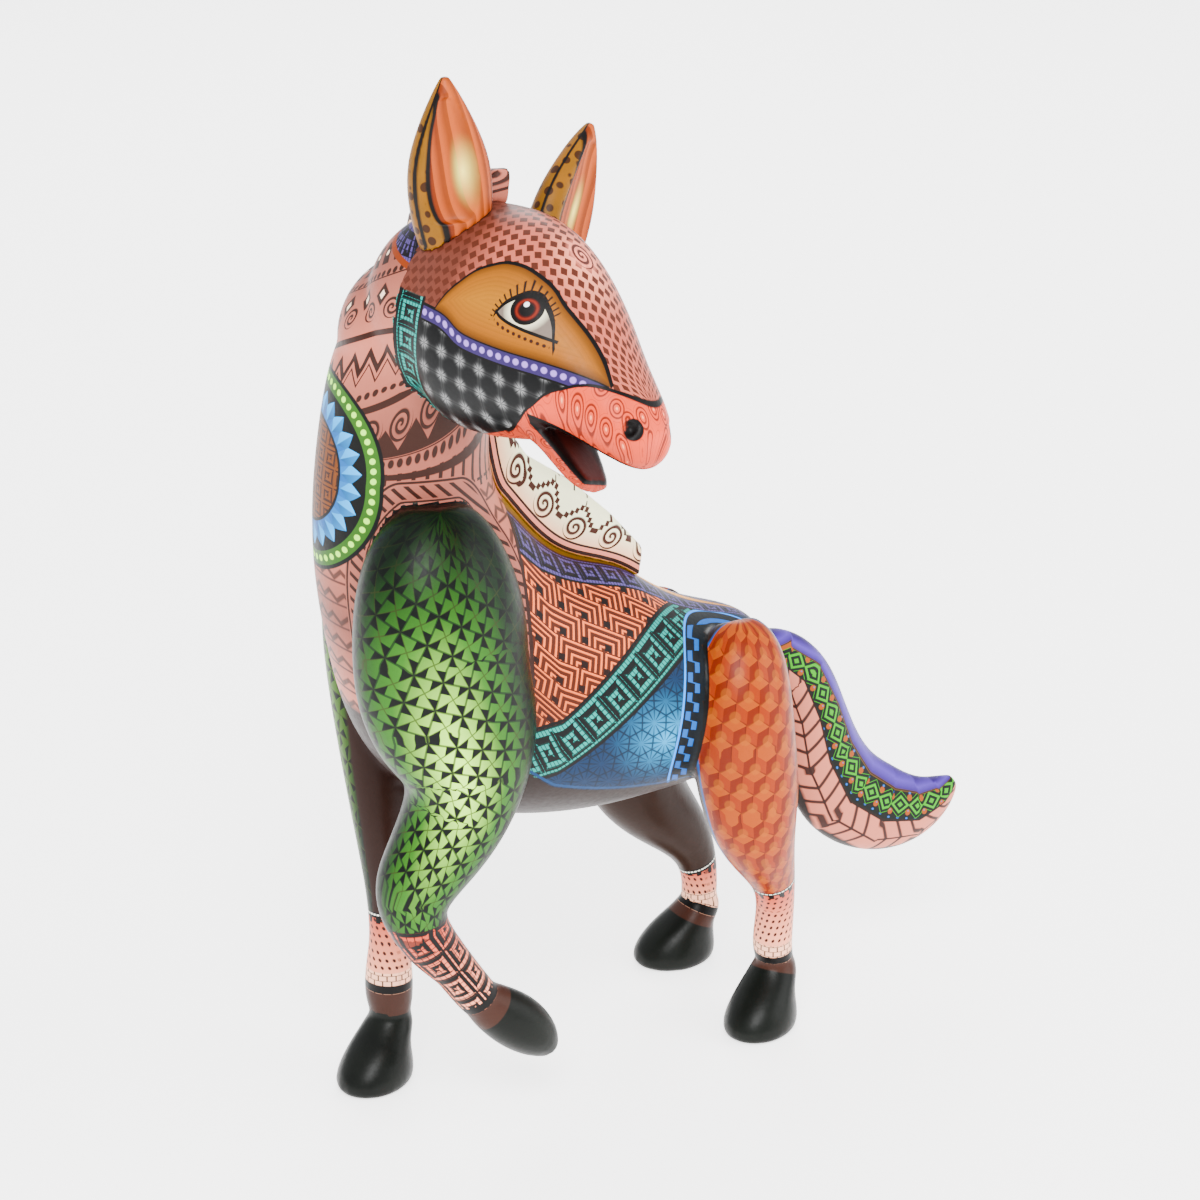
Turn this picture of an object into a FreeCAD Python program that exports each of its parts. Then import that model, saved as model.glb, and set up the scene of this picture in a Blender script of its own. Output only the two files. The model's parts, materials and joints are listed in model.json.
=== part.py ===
"""Carved and painted copal-wood horse, looking back over its left shoulder, left forefoot raised.

Axes: the horse faces -X, its left side is -Y, +Z is up and the three standing hooves rest on Z = 0.
Every block is a loft of ellipses along its own spine. Blocks that are glued share a face and are
pinned with dowels; the two ears and the tail have pegs that pull out of sockets.
Stations are written in a frame that starts midway between the rear hooves, and every one of them
is moved by the cells centre_x and centre_y, so that the origin is under the middle of the figure.
"""
import FreeCAD, Part
import os
from FreeCAD import Placement, Rotation, Vector

doc = FreeCAD.newDocument("alebrije_horse")
sizes = doc.addObject("Spreadsheet::Sheet", "Sizes")
next_row = 1


def cell(alias, number):
    """Write one driving number on the sheet and give it a name."""
    global next_row
    sizes.set("A%d" % next_row, alias)
    sizes.set("B%d" % next_row, str(number))
    sizes.setAlias("B%d" % next_row, alias)
    next_row += 1


def value(alias):
    return float(sizes.get(alias))


for alias, number in {
    # Where the origin sits, from midway between the rear hooves.
    "centre_x": 27.62,
    "centre_y": -22.14,
    # Place and turn of the head: nose heading from -Y towards +X, nose down, right side up.
    "head_x": -26.3,
    "head_y": -42.3,
    "head_z": 213.2,
    "head_turn": 21.0,
    "head_nod": 3.6,
    "head_tilt": 17.2,
    # Glued joints.
    "seat_back": 27.0,
    "poll_back": 22.0,
    "poll_up": 23.0,
    "poll_across": 20.2,
    "nape_deep": 20.8,
    "nape_across": 20.2,
    "nape_up": 21.0,
    "dowel_radius": 2.5,
    "dowel_length": 20.0,
    "neck_dowel_radius": 3.0,
    "neck_dowel_spacing": 16.0,
    "glue_gap": 0.05,
    "blind_gap": 0.5,
    # Pull-out pegs.
    "peg_radius": 2.5,
    "ear_peg_deep": 9.0,
    "ear_peg_up": 8.0,
    "tail_peg_radius": 3.0,
    "tail_peg_in": 13.0,
    "tail_peg_out": 7.0,
    "tail_peg_rise": 12.0,
    "slide_gap": 0.08,
    "seat_gap": 0.3,
    "nostril_radius": 1.9,
    # Where the toe of each standing hoof points, from -X towards -Y.
    "front_right_toe": 32.0,
    "rear_left_toe": 32.0,
    "rear_right_toe": 0.0,
}.items():
    cell(alias, number)

# Every row of a table ends with the two half-sizes of an ellipse: deep, then wide.
# Trunk and neck: fore-aft, sideways, height, lean of the section (0 is upright, 90 is level).
TRUNK = [
    (61.0, 0.0, 99.0, -8.0, 8.0, 7.0),
    (57.0, 0.0, 97.0, -5.0, 15.5, 15.5),
    (48.0, 0.0, 95.5, 0.0, 20.5, 23.5),
    (30.0, 0.0, 97.0, 3.0, 26.5, 28.0),
    (8.0, 0.0, 103.0, 6.0, 34.0, 30.5),
    (-14.0, 0.0, 108.8, 20.0, 36.2, 31.5),
    (-26.5, 0.0, 117.0, 30.0, 36.5, 31.0),
    (-36.5, 0.0, 132.5, 41.0, 32.6, 30.0),
    (-41.5, 0.0, 151.0, 62.0, 25.5, 25.0),
    (-43.0, -1.0, 172.0, 82.0, 22.0, 21.0),
    (-41.5, -4.0, 193.0, 95.0, 20.6, 20.0),
    (-40.2, -6.0, 206.0, 100.0, 17.6, 17.2),
]

# Head, along its own axis: distance forward, height of the centre.
HEAD = [
    (-27.0, 0.8, 23.4, 20.5),
    (-18.0, 1.5, 26.6, 21.6),
    (-8.0, 1.2, 27.2, 21.6),
    (2.0, 0.6, 25.0, 20.6),
    (12.0, -1.4, 20.4, 18.4),
    (20.0, -4.0, 15.8, 15.4),
    (28.0, -8.2, 12.0, 12.8),
    (34.5, -11.6, 9.4, 11.0),
    (38.8, -13.8, 7.2, 8.8),
    (41.8, -14.8, 3.6, 4.6),
]
LOWER_JAW = [
    (1.0, -12.5, 9.0, 14.5),
    (11.0, -17.2, 6.4, 11.5),
    (17.0, -21.6, 4.4, 9.6),
    (23.0, -26.0, 3.2, 7.6),
    (27.5, -28.4, 1.8, 4.6),
]
MOUTH_GAP = [
    (13.5, -17.0, 0.5, 16.0),
    (19.0, -19.2, 1.8, 16.5),
    (24.0, -21.6, 3.0, 17.0),
    (30.0, -24.4, 4.6, 18.0),
    (37.0, -27.5, 6.5, 18.0),
]

# Legs: centre of each section from the top down.
FRONT_LEFT = [
    (-45.0, -23.5, 167.5, 8.0, 6.0),
    (-45.5, -25.0, 161.0, 15.0, 11.5),
    (-46.5, -27.5, 150.0, 20.0, 15.5),
    (-46.8, -29.5, 135.0, 22.3, 17.0),
    (-45.0, -30.5, 118.0, 21.8, 17.0),
    (-41.5, -31.0, 102.0, 17.6, 15.5),
    (-43.5, -31.0, 90.0, 13.8, 13.5),
    (-50.0, -31.0, 79.0, 11.8, 11.6),
    (-55.5, -31.0, 69.5, 10.0, 9.6),
    (-54.5, -31.0, 60.0, 7.6, 7.4),
    (-46.0, -31.0, 47.0, 5.8, 5.8),
    (-37.5, -31.0, 35.0, 5.4, 5.4),
]
FRONT_LEFT_HOOF = [
    (-37.5, -31.0, 35.0, 5.4, 5.4),
    (-32.5, -31.0, 30.5, 6.8, 6.4),
    (-27.0, -31.0, 25.8, 7.2, 7.0),
    (-21.8, -31.0, 20.8, 5.8, 6.2),
    (-18.4, -31.0, 17.0, 2.8, 3.6),
]
FRONT_RIGHT = [
    (-33.0, 21.0, 160.0, 7.0, 6.0),
    (-33.5, 22.5, 153.0, 13.0, 10.0),
    (-34.0, 24.5, 140.0, 16.5, 13.0),
    (-36.2, 25.0, 122.0, 17.0, 13.5),
    (-39.5, 22.5, 104.0, 13.8, 12.0),
    (-42.5, 17.0, 86.0, 10.4, 9.6),
    (-44.5, 10.5, 67.0, 7.8, 7.6),
    (-45.6, 6.5, 52.0, 6.0, 6.0),
    (-46.3, 5.0, 38.0, 5.4, 5.4),
    (-46.5, 5.0, 17.5, 5.3, 5.3),
]
REAR_LEFT = [
    (43.0, -17.5, 118.5, 5.0, 4.0),
    (43.0, -20.0, 113.5, 10.0, 8.5),
    (41.8, -23.5, 103.0, 12.8, 12.0),
    (41.2, -26.0, 89.0, 13.7, 13.0),
    (42.8, -27.0, 73.0, 13.0, 12.0),
    (46.2, -26.0, 59.0, 10.0, 9.6),
    (52.0, -22.8, 47.0, 6.6, 6.4),
    (55.5, -19.5, 37.0, 5.2, 5.2),
    (57.5, -16.5, 17.5, 5.0, 5.0),
]
REAR_RIGHT = [
    (42.0, 17.0, 113.0, 5.0, 4.0),
    (41.0, 19.5, 108.0, 10.0, 8.5),
    (38.5, 23.0, 97.0, 14.0, 12.0),
    (35.5, 26.0, 81.0, 15.5, 13.0),
    (36.5, 27.0, 64.0, 14.5, 12.0),
    (44.0, 26.5, 48.0, 11.0, 9.6),
    (53.5, 26.0, 36.5, 7.4, 7.0),
    (57.5, 26.0, 27.0, 5.3, 5.3),
    (58.0, 26.0, 17.5, 5.0, 5.0),
]

# Standing hoof: distance ahead of the ankle, height.
HOOF = [
    (8.0, 0.0, 9.6, 7.8),
    (8.0, 1.8, 11.6, 9.2),
    (7.0, 6.5, 10.8, 8.8),
    (3.6, 12.0, 8.0, 7.2),
    (0.0, 17.5, 5.2, 5.2),
]

# Tail: centre of each section from the root to the tip.
TAIL = [
    (58.5, 0.0, 98.0, 6.5, 6.0),
    (65.0, 0.0, 98.6, 6.9, 6.2),
    (72.0, 0.0, 92.5, 8.2, 6.6),
    (77.0, 0.0, 80.5, 9.6, 7.2),
    (80.5, 0.0, 67.5, 11.5, 7.6),
    (87.0, 0.0, 55.0, 13.0, 7.6),
    (97.5, 0.0, 47.0, 12.6, 7.2),
    (109.0, 0.0, 44.0, 10.0, 6.2),
    (118.0, 0.0, 46.0, 6.0, 4.4),
    (123.5, 0.0, 49.5, 1.6, 1.4),
]

# Mane: a point on its root and one on its ridge at each station, and its half-thickness.
MANE = [
    ((19.5, 0.0, 121.5), (24.0, 0.0, 137.5), 4.6),
    ((10.0, 0.0, 129.0), (15.0, 0.0, 148.0), 5.4),
    ((-2.0, 0.0, 138.0), (4.0, 0.0, 158.5), 5.8),
    ((-15.0, 0.0, 149.0), (-8.5, 0.5, 167.5), 6.0),
    ((-26.0, 0.5, 163.0), (-14.5, 3.0, 177.5), 6.0),
    ((-30.0, 1.0, 179.0), (-13.5, 8.0, 189.5), 6.0),
    ((-34.5, 0.0, 200.5), (-21.0, 14.0, 211.0), 6.0),
    ((-37.0, -5.0, 217.0), (-30.0, 7.5, 233.0), 5.8),
    ((-34.5, -13.0, 224.0), (-30.0, -9.0, 246.5), 5.2),
    ((-28.5, -21.0, 229.0), (-25.0, -23.0, 249.5), 4.4),
]

# Outline of the mane's section, in half-thicknesses across and half-depths outward.
MANE_SECTION = [
    (0.45, 1.0),
    (0.9, 0.78),
    (1.0, 0.35),
    (1.0, -0.6),
    (0.6, -1.0),
    (-0.6, -1.0),
    (-1.0, -0.6),
    (-1.0, 0.35),
    (-0.9, 0.78),
    (-0.45, 1.0),
]

# Ear blade: distance up from its root.
EAR = [
    (-6.0, 5.5, 7.5),
    (2.0, 6.2, 9.2),
    (10.0, 6.2, 10.0),
    (20.0, 5.6, 9.4),
    (30.0, 4.4, 6.6),
    (38.0, 2.8, 3.4),
    (43.0, 0.8, 0.9),
]
# Hollow in the front of the ear: distance up, distance forward.
EAR_SCOOP = [
    (4.0, 6.8, 2.2, 5.0),
    (11.0, 6.4, 3.4, 8.0),
    (20.0, 6.0, 3.4, 7.6),
    (30.0, 4.9, 2.8, 5.0),
    (38.0, 3.4, 1.5, 2.0),
]
# Ears in the head's axes (forward, to the right, up): mouth of the peg's socket, foot of the
# blade, tip of the blade, and where its hollow front faces.
EARS = {
    "right_ear": ((-22.1, 13.6, 20.5), (-22.0, 13.3, 19.6), (-24.5, 25.8, 54.6), (0.72, 0.69, 0.0)),
    "left_ear": ((-15.7, -16.9, 18.8), (-15.0, -15.5, 14.5), (-20.5, -26.5, 49.5), (1.0, -0.05, 0.0)),
}
# Leg dowels: fore-aft, height, and how far out the middle of the dowel lies.
LEG_DOWELS = {
    "front_left": [(-47.0, 150.0, -27.0), (-38.0, 122.0, -29.0)],
    "front_right": [(-34.0, 142.0, 24.0), (-36.0, 120.0, 24.0)],
    "rear_left": [(42.0, 104.0, -21.5), (41.0, 88.0, -23.0)],
    "rear_right": [(39.0, 100.0, 21.5), (36.0, 84.0, 23.0)],
}
TOE_TURN = {"front_right": "front_right_toe", "rear_left": "rear_left_toe", "rear_right": "rear_right_toe"}
MANE_PEGS = [((6.0, 0.0, 135.0), (10.0, 0.0, 147.0)), ((-32.0, 1.0, 187.0), (-20.0, 7.0, 193.0))]

TABLES = {
    "trunk": TRUNK,
    "skull": HEAD,
    "jaw": LOWER_JAW,
    "mouth_gap": MOUTH_GAP,
    "front_left": FRONT_LEFT,
    "front_left_hoof": FRONT_LEFT_HOOF,
    "front_right": FRONT_RIGHT,
    "rear_left": REAR_LEFT,
    "rear_right": REAR_RIGHT,
    "hoof": HOOF,
    "tail": TAIL,
    "ear": EAR,
    "ear_scoop": EAR_SCOOP,
    "mane": [((Vector(*ridge) - Vector(*root)).Length / 2, thick) for root, ridge, thick in MANE],
}
for name, rows in TABLES.items():
    for index, row in enumerate(rows):
        cell("%s%d_deep" % (name, index), row[-2])
        cell("%s%d_wide" % (name, index), row[-1])
doc.recompute()

shift = Vector(value("centre_x"), value("centre_y"), 0)


def spot(x, y, z):
    """A point written from midway between the rear hooves, moved to the part's own origin."""
    return Vector(x, y, z) - shift


def upright(normal, deep):
    """The rotation that turns local Z to normal and local X as near to deep as it can be."""
    normal = Vector(normal).normalize()
    deep = Vector(deep) - normal * normal.dot(Vector(deep))
    return Rotation(deep.normalize(), normal.cross(deep), normal, "ZXY")


head_turn = Rotation(Vector(0, 0, 1), value("head_turn") - 90)
head_nod = Rotation(Vector(0, 1, 0), value("head_nod"))
head_tilt = Rotation(Vector(1, 0, 0), -value("head_tilt"))
head_frame = Placement(
    spot(value("head_x"), value("head_y"), value("head_z")),
    head_turn.multiply(head_nod).multiply(head_tilt),
)


def in_head(forward, right, up):
    """A point in the head's own axes, as the part sees it."""
    return head_frame.multVec(Vector(forward, -right, up))


def along_head(forward, right, up):
    """A direction in the head's own axes, as the part sees it."""
    return head_frame.Rotation.multVec(Vector(forward, -right, up)).normalize()


def checked(feature):
    """Recompute and stop if the feature has failed."""
    doc.recompute()
    if "Invalid" in feature.State or "Error" in feature.State or feature.Shape.isNull():
        raise RuntimeError("%s failed: %s" % (feature.Name, feature.getStatusString()))
    return feature


def ellipse(name, row, centre, rotation):
    """One section, its half-axes driven by the sheet's row. The longer half-axis goes first."""
    section = doc.addObject("Part::Ellipse", name)
    major, minor = row + "_deep", row + "_wide"
    if value(minor) > value(major):
        major, minor = minor, major
        rotation = rotation.multiply(Rotation(Vector(0, 0, 1), 90))
    section.setExpression("MajorRadius", "Sizes." + major)
    section.setExpression("MinorRadius", "Sizes." + minor)
    section.Placement = Placement(centre, rotation)
    return section


def loft(name, sections, ruled=False):
    body = doc.addObject("Part::Loft", name)
    body.Sections = sections
    body.Solid = True
    body.Ruled = ruled
    return checked(body)


def fuse(name, shapes):
    joined = doc.addObject("Part::MultiFuse", name)
    joined.Shapes = shapes
    joined.Refine = False
    return checked(joined)


def cut(name, base, tools):
    """Take each tool off the base in turn; the last cut carries the name."""
    for index, tool in enumerate(tools):
        last = index == len(tools) - 1
        less = doc.addObject("Part::Cut", name if last else "%s_less%d" % (name, index))
        less.Base = base
        less.Tool = tool
        less.Refine = False
        base = checked(less)
    return base


def pin(name, start, end, radius_cell, gap_cell=None):
    """A round pin, or with a gap the hole for it, from start to end."""
    rod = doc.addObject("Part::Cylinder", name)
    radius = "Sizes." + radius_cell
    rod.setExpression("Radius", radius + (" + Sizes." + gap_cell if gap_cell else ""))
    rod.Height = (end - start).Length
    rod.Placement = Placement(start, Rotation(Vector(0, 0, 1), end - start))
    return checked(rod)


def spine_loft(name, table, deep_hint):
    """A loft whose sections stand square to the line through their centres."""
    centres = [spot(*row[:3]) for row in TABLES[table]]
    sections = []
    for index, centre in enumerate(centres):
        before = centres[max(index - 1, 0)]
        after = centres[min(index + 1, len(centres) - 1)]
        rotation = upright(after - before, deep_hint)
        section_name = "%s%d" % (name, index)
        sections.append(ellipse(section_name, "%s%d" % (table, index), centre, rotation))
    return loft(name, sections)


def trunk_loft():
    sections = []
    for index, (x, y, z, lean, deep, wide) in enumerate(TRUNK):
        rotation = Rotation(Vector(0, 1, 0), lean - 90)
        row = "trunk%d" % index
        sections.append(ellipse("section_" + row, row, spot(x, y, z), rotation))
    return loft("trunk", sections)


def head_loft(table):
    """A loft along the head's axis; its sections are square to that axis."""
    rotation = upright(along_head(1, 0, 0), along_head(0, 0, 1))
    sections = []
    for index, station in enumerate(TABLES[table]):
        row = "%s%d" % (table, index)
        centre = in_head(station[0], 0, station[1])
        sections.append(ellipse("section_" + row, row, centre, rotation))
    return loft(table, sections)


def hoof_loft(name, ankle, toe_turn):
    """A standing hoof, its sole flat on Z = 0, its toe turned from -X towards -Y."""
    turn = Rotation(Vector(0, 0, 1), toe_turn)
    sections = []
    for index, (forward, height, deep, wide) in enumerate(HOOF):
        centre = spot(ankle[0], ankle[1], height) + turn.multVec(Vector(-forward, 0, 0))
        sections.append(ellipse("%s%d" % (name, index), "hoof%d" % index, centre, turn))
    return loft(name, sections)


def finish(feature, label):
    feature.Label = label
    return feature


parts = []
trunk = trunk_loft()
# The rounded end of the neck, and the poll: half an egg on the seat of the head.
nape = doc.addObject("Part::Ellipsoid", "nape")
nape.setExpression("Radius1", "Sizes.nape_up")
nape.setExpression("Radius2", "Sizes.nape_deep")
nape.setExpression("Radius3", "Sizes.nape_across")
nape.Placement = Placement(spot(-39.0, -6.0, 205.0), Rotation(Vector(0, 1, 0), 12))
poll = doc.addObject("Part::Ellipsoid", "poll")
poll.Angle1 = 0
poll.Angle2 = 90
poll.setExpression("Radius1", "Sizes.poll_back")
poll.setExpression("Radius2", "Sizes.poll_up")
poll.setExpression("Radius3", "Sizes.poll_across")
poll.Placement = Placement(
    in_head(-value("seat_back"), 0, 0.8), upright(along_head(-1, 0, 0), along_head(0, 0, 1))
)
trunk_and_poll = fuse("trunk_and_poll", [trunk, poll])
neck_and_trunk = fuse("neck_and_trunk", [trunk_and_poll, nape])

# Head: cranium and muzzle, lower jaw below an open mouth, and two nostrils.
skull = head_loft("skull")
mouth_gap = head_loft("mouth_gap")
skull_open = cut("skull_open", skull, [mouth_gap])
jaw = head_loft("jaw")
jaw_open = cut("jaw_open", jaw, [mouth_gap])
head_whole = fuse("head_whole", [skull_open, jaw_open])

# Pegs and sockets of the ears.
ear_pins = {}
ear_holes = []
for name, (socket, foot, tip, facing) in EARS.items():
    base = in_head(*socket)
    axis = (in_head(*tip) - in_head(*foot)).normalize()
    bottom = base - axis * value("ear_peg_deep")
    ear_pins[name] = pin(name + "_pin", bottom, base + axis * value("ear_peg_up"), "peg_radius")
    hole_bottom = bottom - axis * value("blind_gap")
    ear_holes.append(pin(name + "_socket", hole_bottom, base + axis * 20, "peg_radius", "slide_gap"))

# Neck dowels lie along the head's axis, across the flat glued seat.
neck_pins = []
neck_holes = []
half = value("dowel_length") / 2
for index, side in enumerate((-0.5, 0.5)):
    up = side * value("neck_dowel_spacing")
    seat = -value("seat_back")
    start = in_head(seat - half, 0, up)
    end = in_head(seat + half, 0, up)
    reach = along_head(1, 0, 0) * value("blind_gap")
    neck_pins.append(pin("neck_pin%d" % index, start, end, "neck_dowel_radius"))
    neck_holes.append(
        pin("neck_hole%d" % index, start - reach, end + reach, "neck_dowel_radius", "glue_gap")
    )

nostrils = []
for side in (-1, 1):
    outer = in_head(41.5, side * 9.0, -10.4)
    inner = in_head(37.5, side * 7.2, -11.8)
    nostrils.append(pin("nostril%d" % (side + 1), inner, outer, "nostril_radius"))
head_block = cut("head_block", head_whole, ear_holes + neck_holes + nostrils)
parts.append(finish(head_block, "head_block"))

# Legs, coped to the trunk.
forwards = Vector(1, 0, 0)
leg_lofts = {name: spine_loft(name + "_loft", name, forwards) for name in LEG_DOWELS}
hoof_lofts = {"front_left": spine_loft("front_left_hoof_loft", "front_left_hoof", forwards)}
for name, toe_turn in TOE_TURN.items():
    hoof_lofts[name] = hoof_loft(name + "_hoof", TABLES[name][-1], value(toe_turn))
leg_holes = []
for name, places in LEG_DOWELS.items():
    pins = []
    holes = []
    for index, (x, z, y) in enumerate(places):
        start = spot(x, y - half, z)
        end = spot(x, y + half, z)
        reach = Vector(0, value("blind_gap"), 0)
        pins.append(pin("%s_pin%d" % (name, index), start, end, "dowel_radius"))
        holes.append(
            pin("%s_hole%d" % (name, index), start - reach, end + reach, "dowel_radius", "glue_gap")
        )
    leg_holes += holes
    whole = fuse(name + "_whole", [leg_lofts[name], hoof_lofts[name]])
    leg = cut(name + "_leg_block", whole, [neck_and_trunk] + holes)
    parts.append(finish(leg, name + "_leg"))
    group = doc.addObject("Part::Compound", name + "_dowels_group")
    group.Links = pins
    parts.append(finish(checked(group), name + "_leg_dowels"))

# Mane: a ribbon from between the ears down the crest to the middle of the back.
mane_sections = []
middles = [(spot(*root) + spot(*ridge)) * 0.5 for root, ridge, thick in MANE]
for index, (root, ridge, thick) in enumerate(MANE):
    deep = (spot(*ridge) - spot(*root)).normalize()
    along = middles[min(index + 1, len(middles) - 1)] - middles[max(index - 1, 0)]
    along = (along - deep * along.dot(deep)).normalize()
    side = along.cross(deep) * value("mane%d_wide" % index)
    deep = deep * value("mane%d_deep" % index)
    corners = [middles[index] + side * across + deep * out for across, out in MANE_SECTION]
    outline = doc.addObject("Part::Feature", "mane_section%d" % index)
    outline.Shape = Part.makePolygon(corners + corners[:1])
    mane_sections.append(outline)
mane_whole = loft("mane_whole", mane_sections, ruled=True)
mane_pins = []
mane_holes = []
for index, (inner, outer) in enumerate(MANE_PEGS):
    reach = (spot(*outer) - spot(*inner)).normalize() * value("blind_gap")
    mane_pins.append(pin("mane_pin%d" % index, spot(*inner), spot(*outer), "dowel_radius"))
    mane_holes.append(
        pin(
            "mane_hole%d" % index,
            spot(*inner) - reach,
            spot(*outer) + reach,
            "dowel_radius",
            "glue_gap",
        )
    )
mane = cut("mane_block", mane_whole, [neck_and_trunk, head_whole] + mane_holes)
parts.append(finish(mane, "mane"))
mane_pegs = doc.addObject("Part::Compound", "mane_pegs_group")
mane_pegs.Links = mane_pins
parts.append(finish(checked(mane_pegs), "mane_pegs"))

# Tail and its peg. The peg rises as it leaves the rump, so the tail's weight keeps it seated.
rise = Rotation(Vector(0, 1, 0), -value("tail_peg_rise"))
tail_axis = rise.multVec(Vector(1, 0, 0))
tail_root = spot(61.0, 0, 98.5)
tail_start = tail_root - tail_axis * value("tail_peg_in")
tail_end = tail_root + tail_axis * value("tail_peg_out")
tail_pin = pin("tail_pin", tail_start, tail_end, "tail_peg_radius")
tail_socket = pin(
    "tail_socket",
    tail_start - tail_axis * value("blind_gap"),
    tail_root + tail_axis * 20,
    "tail_peg_radius",
    "slide_gap",
)
tail_glue = pin(
    "tail_glue",
    tail_root,
    tail_end + tail_axis * value("blind_gap"),
    "tail_peg_radius",
    "glue_gap",
)
tail_whole = spine_loft("tail_whole", "tail", Vector(1, 0, 1))
rump_moved = doc.addObject("Part::Compound", "rump_moved")
rump_moved.Links = [trunk]
rump_moved.Placement = Placement(tail_axis * value("seat_gap"), Rotation())
checked(rump_moved)
tail = cut("tail_block", tail_whole, [rump_moved, tail_glue])
parts.append(finish(tail, "tail"))
parts.append(finish(tail_pin, "tail_peg"))

# Body block: trunk, neck and poll, less the seat for the head and every hole.
body_tools = [head_whole] + neck_holes + leg_holes + mane_holes + [tail_socket]
body_block = cut("body_block", neck_and_trunk, body_tools)
parts.append(finish(body_block, "body_block"))
neck_dowels = doc.addObject("Part::Compound", "neck_dowels_group")
neck_dowels.Links = neck_pins
parts.append(finish(checked(neck_dowels), "neck_dowels"))

# Ears, hollowed in front and coped to the top of the head.
for name, (socket, foot, tip, facing) in EARS.items():
    base = in_head(*socket)
    start = in_head(*foot)
    axis = in_head(*tip) - start
    growth = axis.Length / EAR[-1][0]
    axis = axis.normalize()
    front = along_head(*facing)
    stand = upright(axis, front)
    forward = stand.multVec(Vector(1, 0, 0))
    blade = []
    for index, row in enumerate(EAR):
        centre = start + axis * (row[0] * growth)
        blade.append(ellipse("%s_blade%d" % (name, index), "ear%d" % index, centre, stand))
    scoop = []
    for index, row in enumerate(EAR_SCOOP):
        centre = start + axis * (row[0] * growth) + forward * row[1]
        scoop.append(ellipse("%s_scoop%d" % (name, index), "ear_scoop%d" % index, centre, stand))
    blade_whole = loft(name + "_whole", blade)
    hollow = loft(name + "_hollow", scoop)
    moved = doc.addObject("Part::Compound", name + "_head_moved")
    moved.Links = [head_whole]
    moved.Placement = Placement(axis * value("seat_gap"), Rotation())
    checked(moved)
    neck_moved = doc.addObject("Part::Compound", name + "_neck_moved")
    neck_moved.Links = [neck_and_trunk]
    neck_moved.Placement = Placement(axis * value("seat_gap"), Rotation())
    checked(neck_moved)
    peg_hole = pin(
        name + "_peg_hole",
        base - axis * value("ear_peg_deep"),
        base + axis * (value("ear_peg_up") + value("blind_gap")),
        "peg_radius",
        "glue_gap",
    )
    ear = cut(name + "_block", blade_whole, [hollow, moved, neck_moved, peg_hole])
    parts.append(finish(ear, name))
    parts.append(finish(ear_pins[name], name + "_peg"))

for feature in doc.Objects:
    if "Invalid" in feature.State or "Error" in feature.State:
        raise RuntimeError("%s failed" % feature.Label)
os.makedirs("parts", exist_ok=True)
for part in parts:
    if part.Shape.isNull() or not part.Shape.isValid():
        raise RuntimeError("%s has a bad shape" % part.Label)
    part.Shape.exportStep("parts/%s.step" % part.Label)
    print(part.Label, len(part.Shape.Solids), "solids", round(part.Shape.Volume), "mm3")
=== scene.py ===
"""Looks of the painted wooden horse: smooth carved skins over the CAD blocks, painted by shader nodes.

Lengths in the painting code are millimetres in the part's own frame; meshes are in metres.
"""

import json
import math

import bmesh
import bpy
import numpy as np
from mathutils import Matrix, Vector
from mathutils.bvhtree import BVHTree


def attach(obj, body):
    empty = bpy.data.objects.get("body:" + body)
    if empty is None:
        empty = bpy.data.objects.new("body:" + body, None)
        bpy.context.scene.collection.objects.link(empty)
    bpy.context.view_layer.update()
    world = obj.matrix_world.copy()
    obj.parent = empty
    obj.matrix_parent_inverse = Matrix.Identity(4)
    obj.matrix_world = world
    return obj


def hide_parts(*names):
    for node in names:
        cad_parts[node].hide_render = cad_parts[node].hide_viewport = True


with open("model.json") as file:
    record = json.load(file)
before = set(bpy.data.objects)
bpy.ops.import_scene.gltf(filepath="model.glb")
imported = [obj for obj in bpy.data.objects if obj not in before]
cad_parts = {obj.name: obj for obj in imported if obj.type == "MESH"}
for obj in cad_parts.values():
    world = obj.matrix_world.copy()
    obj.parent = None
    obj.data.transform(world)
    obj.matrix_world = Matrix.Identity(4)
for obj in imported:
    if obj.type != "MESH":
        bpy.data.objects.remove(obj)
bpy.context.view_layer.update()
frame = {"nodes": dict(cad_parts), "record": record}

# The head's own axes, as the CAD places them: origin, forward, towards its right, up.
HEAD_AT = np.array([-53.92, -20.16, 213.2])
FORWARD = np.array([0.35766, -0.93174, -0.06279])
RIGHT = np.array([-0.88518, -0.35968, 0.29512])
UP = np.array([0.29756, 0.04997, 0.95339])
MIDDLE_Y = 22.14
# Edge of the remeshing cells, in metres.
BLOCK_VOXEL = 0.0009
STRIP_VOXEL = 0.0008
EAR_VOXEL = 0.0005
SKIN = ["body_block", "head_block", "front_left_leg", "front_right_leg", "rear_left_leg", "rear_right_leg"]


# ---------------------------------------------------------------- meshes

def node_arrays(name):
    mesh = frame["nodes"][name].data
    points = np.empty(len(mesh.vertices) * 3)
    mesh.vertices.foreach_get("co", points)
    mesh.calc_loop_triangles()
    faces = np.empty(len(mesh.loop_triangles) * 3, dtype=np.int32)
    mesh.loop_triangles.foreach_get("vertices", faces)
    matrix = np.array(frame["nodes"][name].matrix_world)
    points = points.reshape(-1, 3) @ matrix[:3, :3].T + matrix[:3, 3]
    return points, faces.reshape(-1, 3)


trees = {}


def tree_of(name):
    if name not in trees:
        points, faces = node_arrays(name)
        trees[name] = BVHTree.FromPolygons(points.tolist(), faces.tolist())
    return trees[name]


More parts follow.
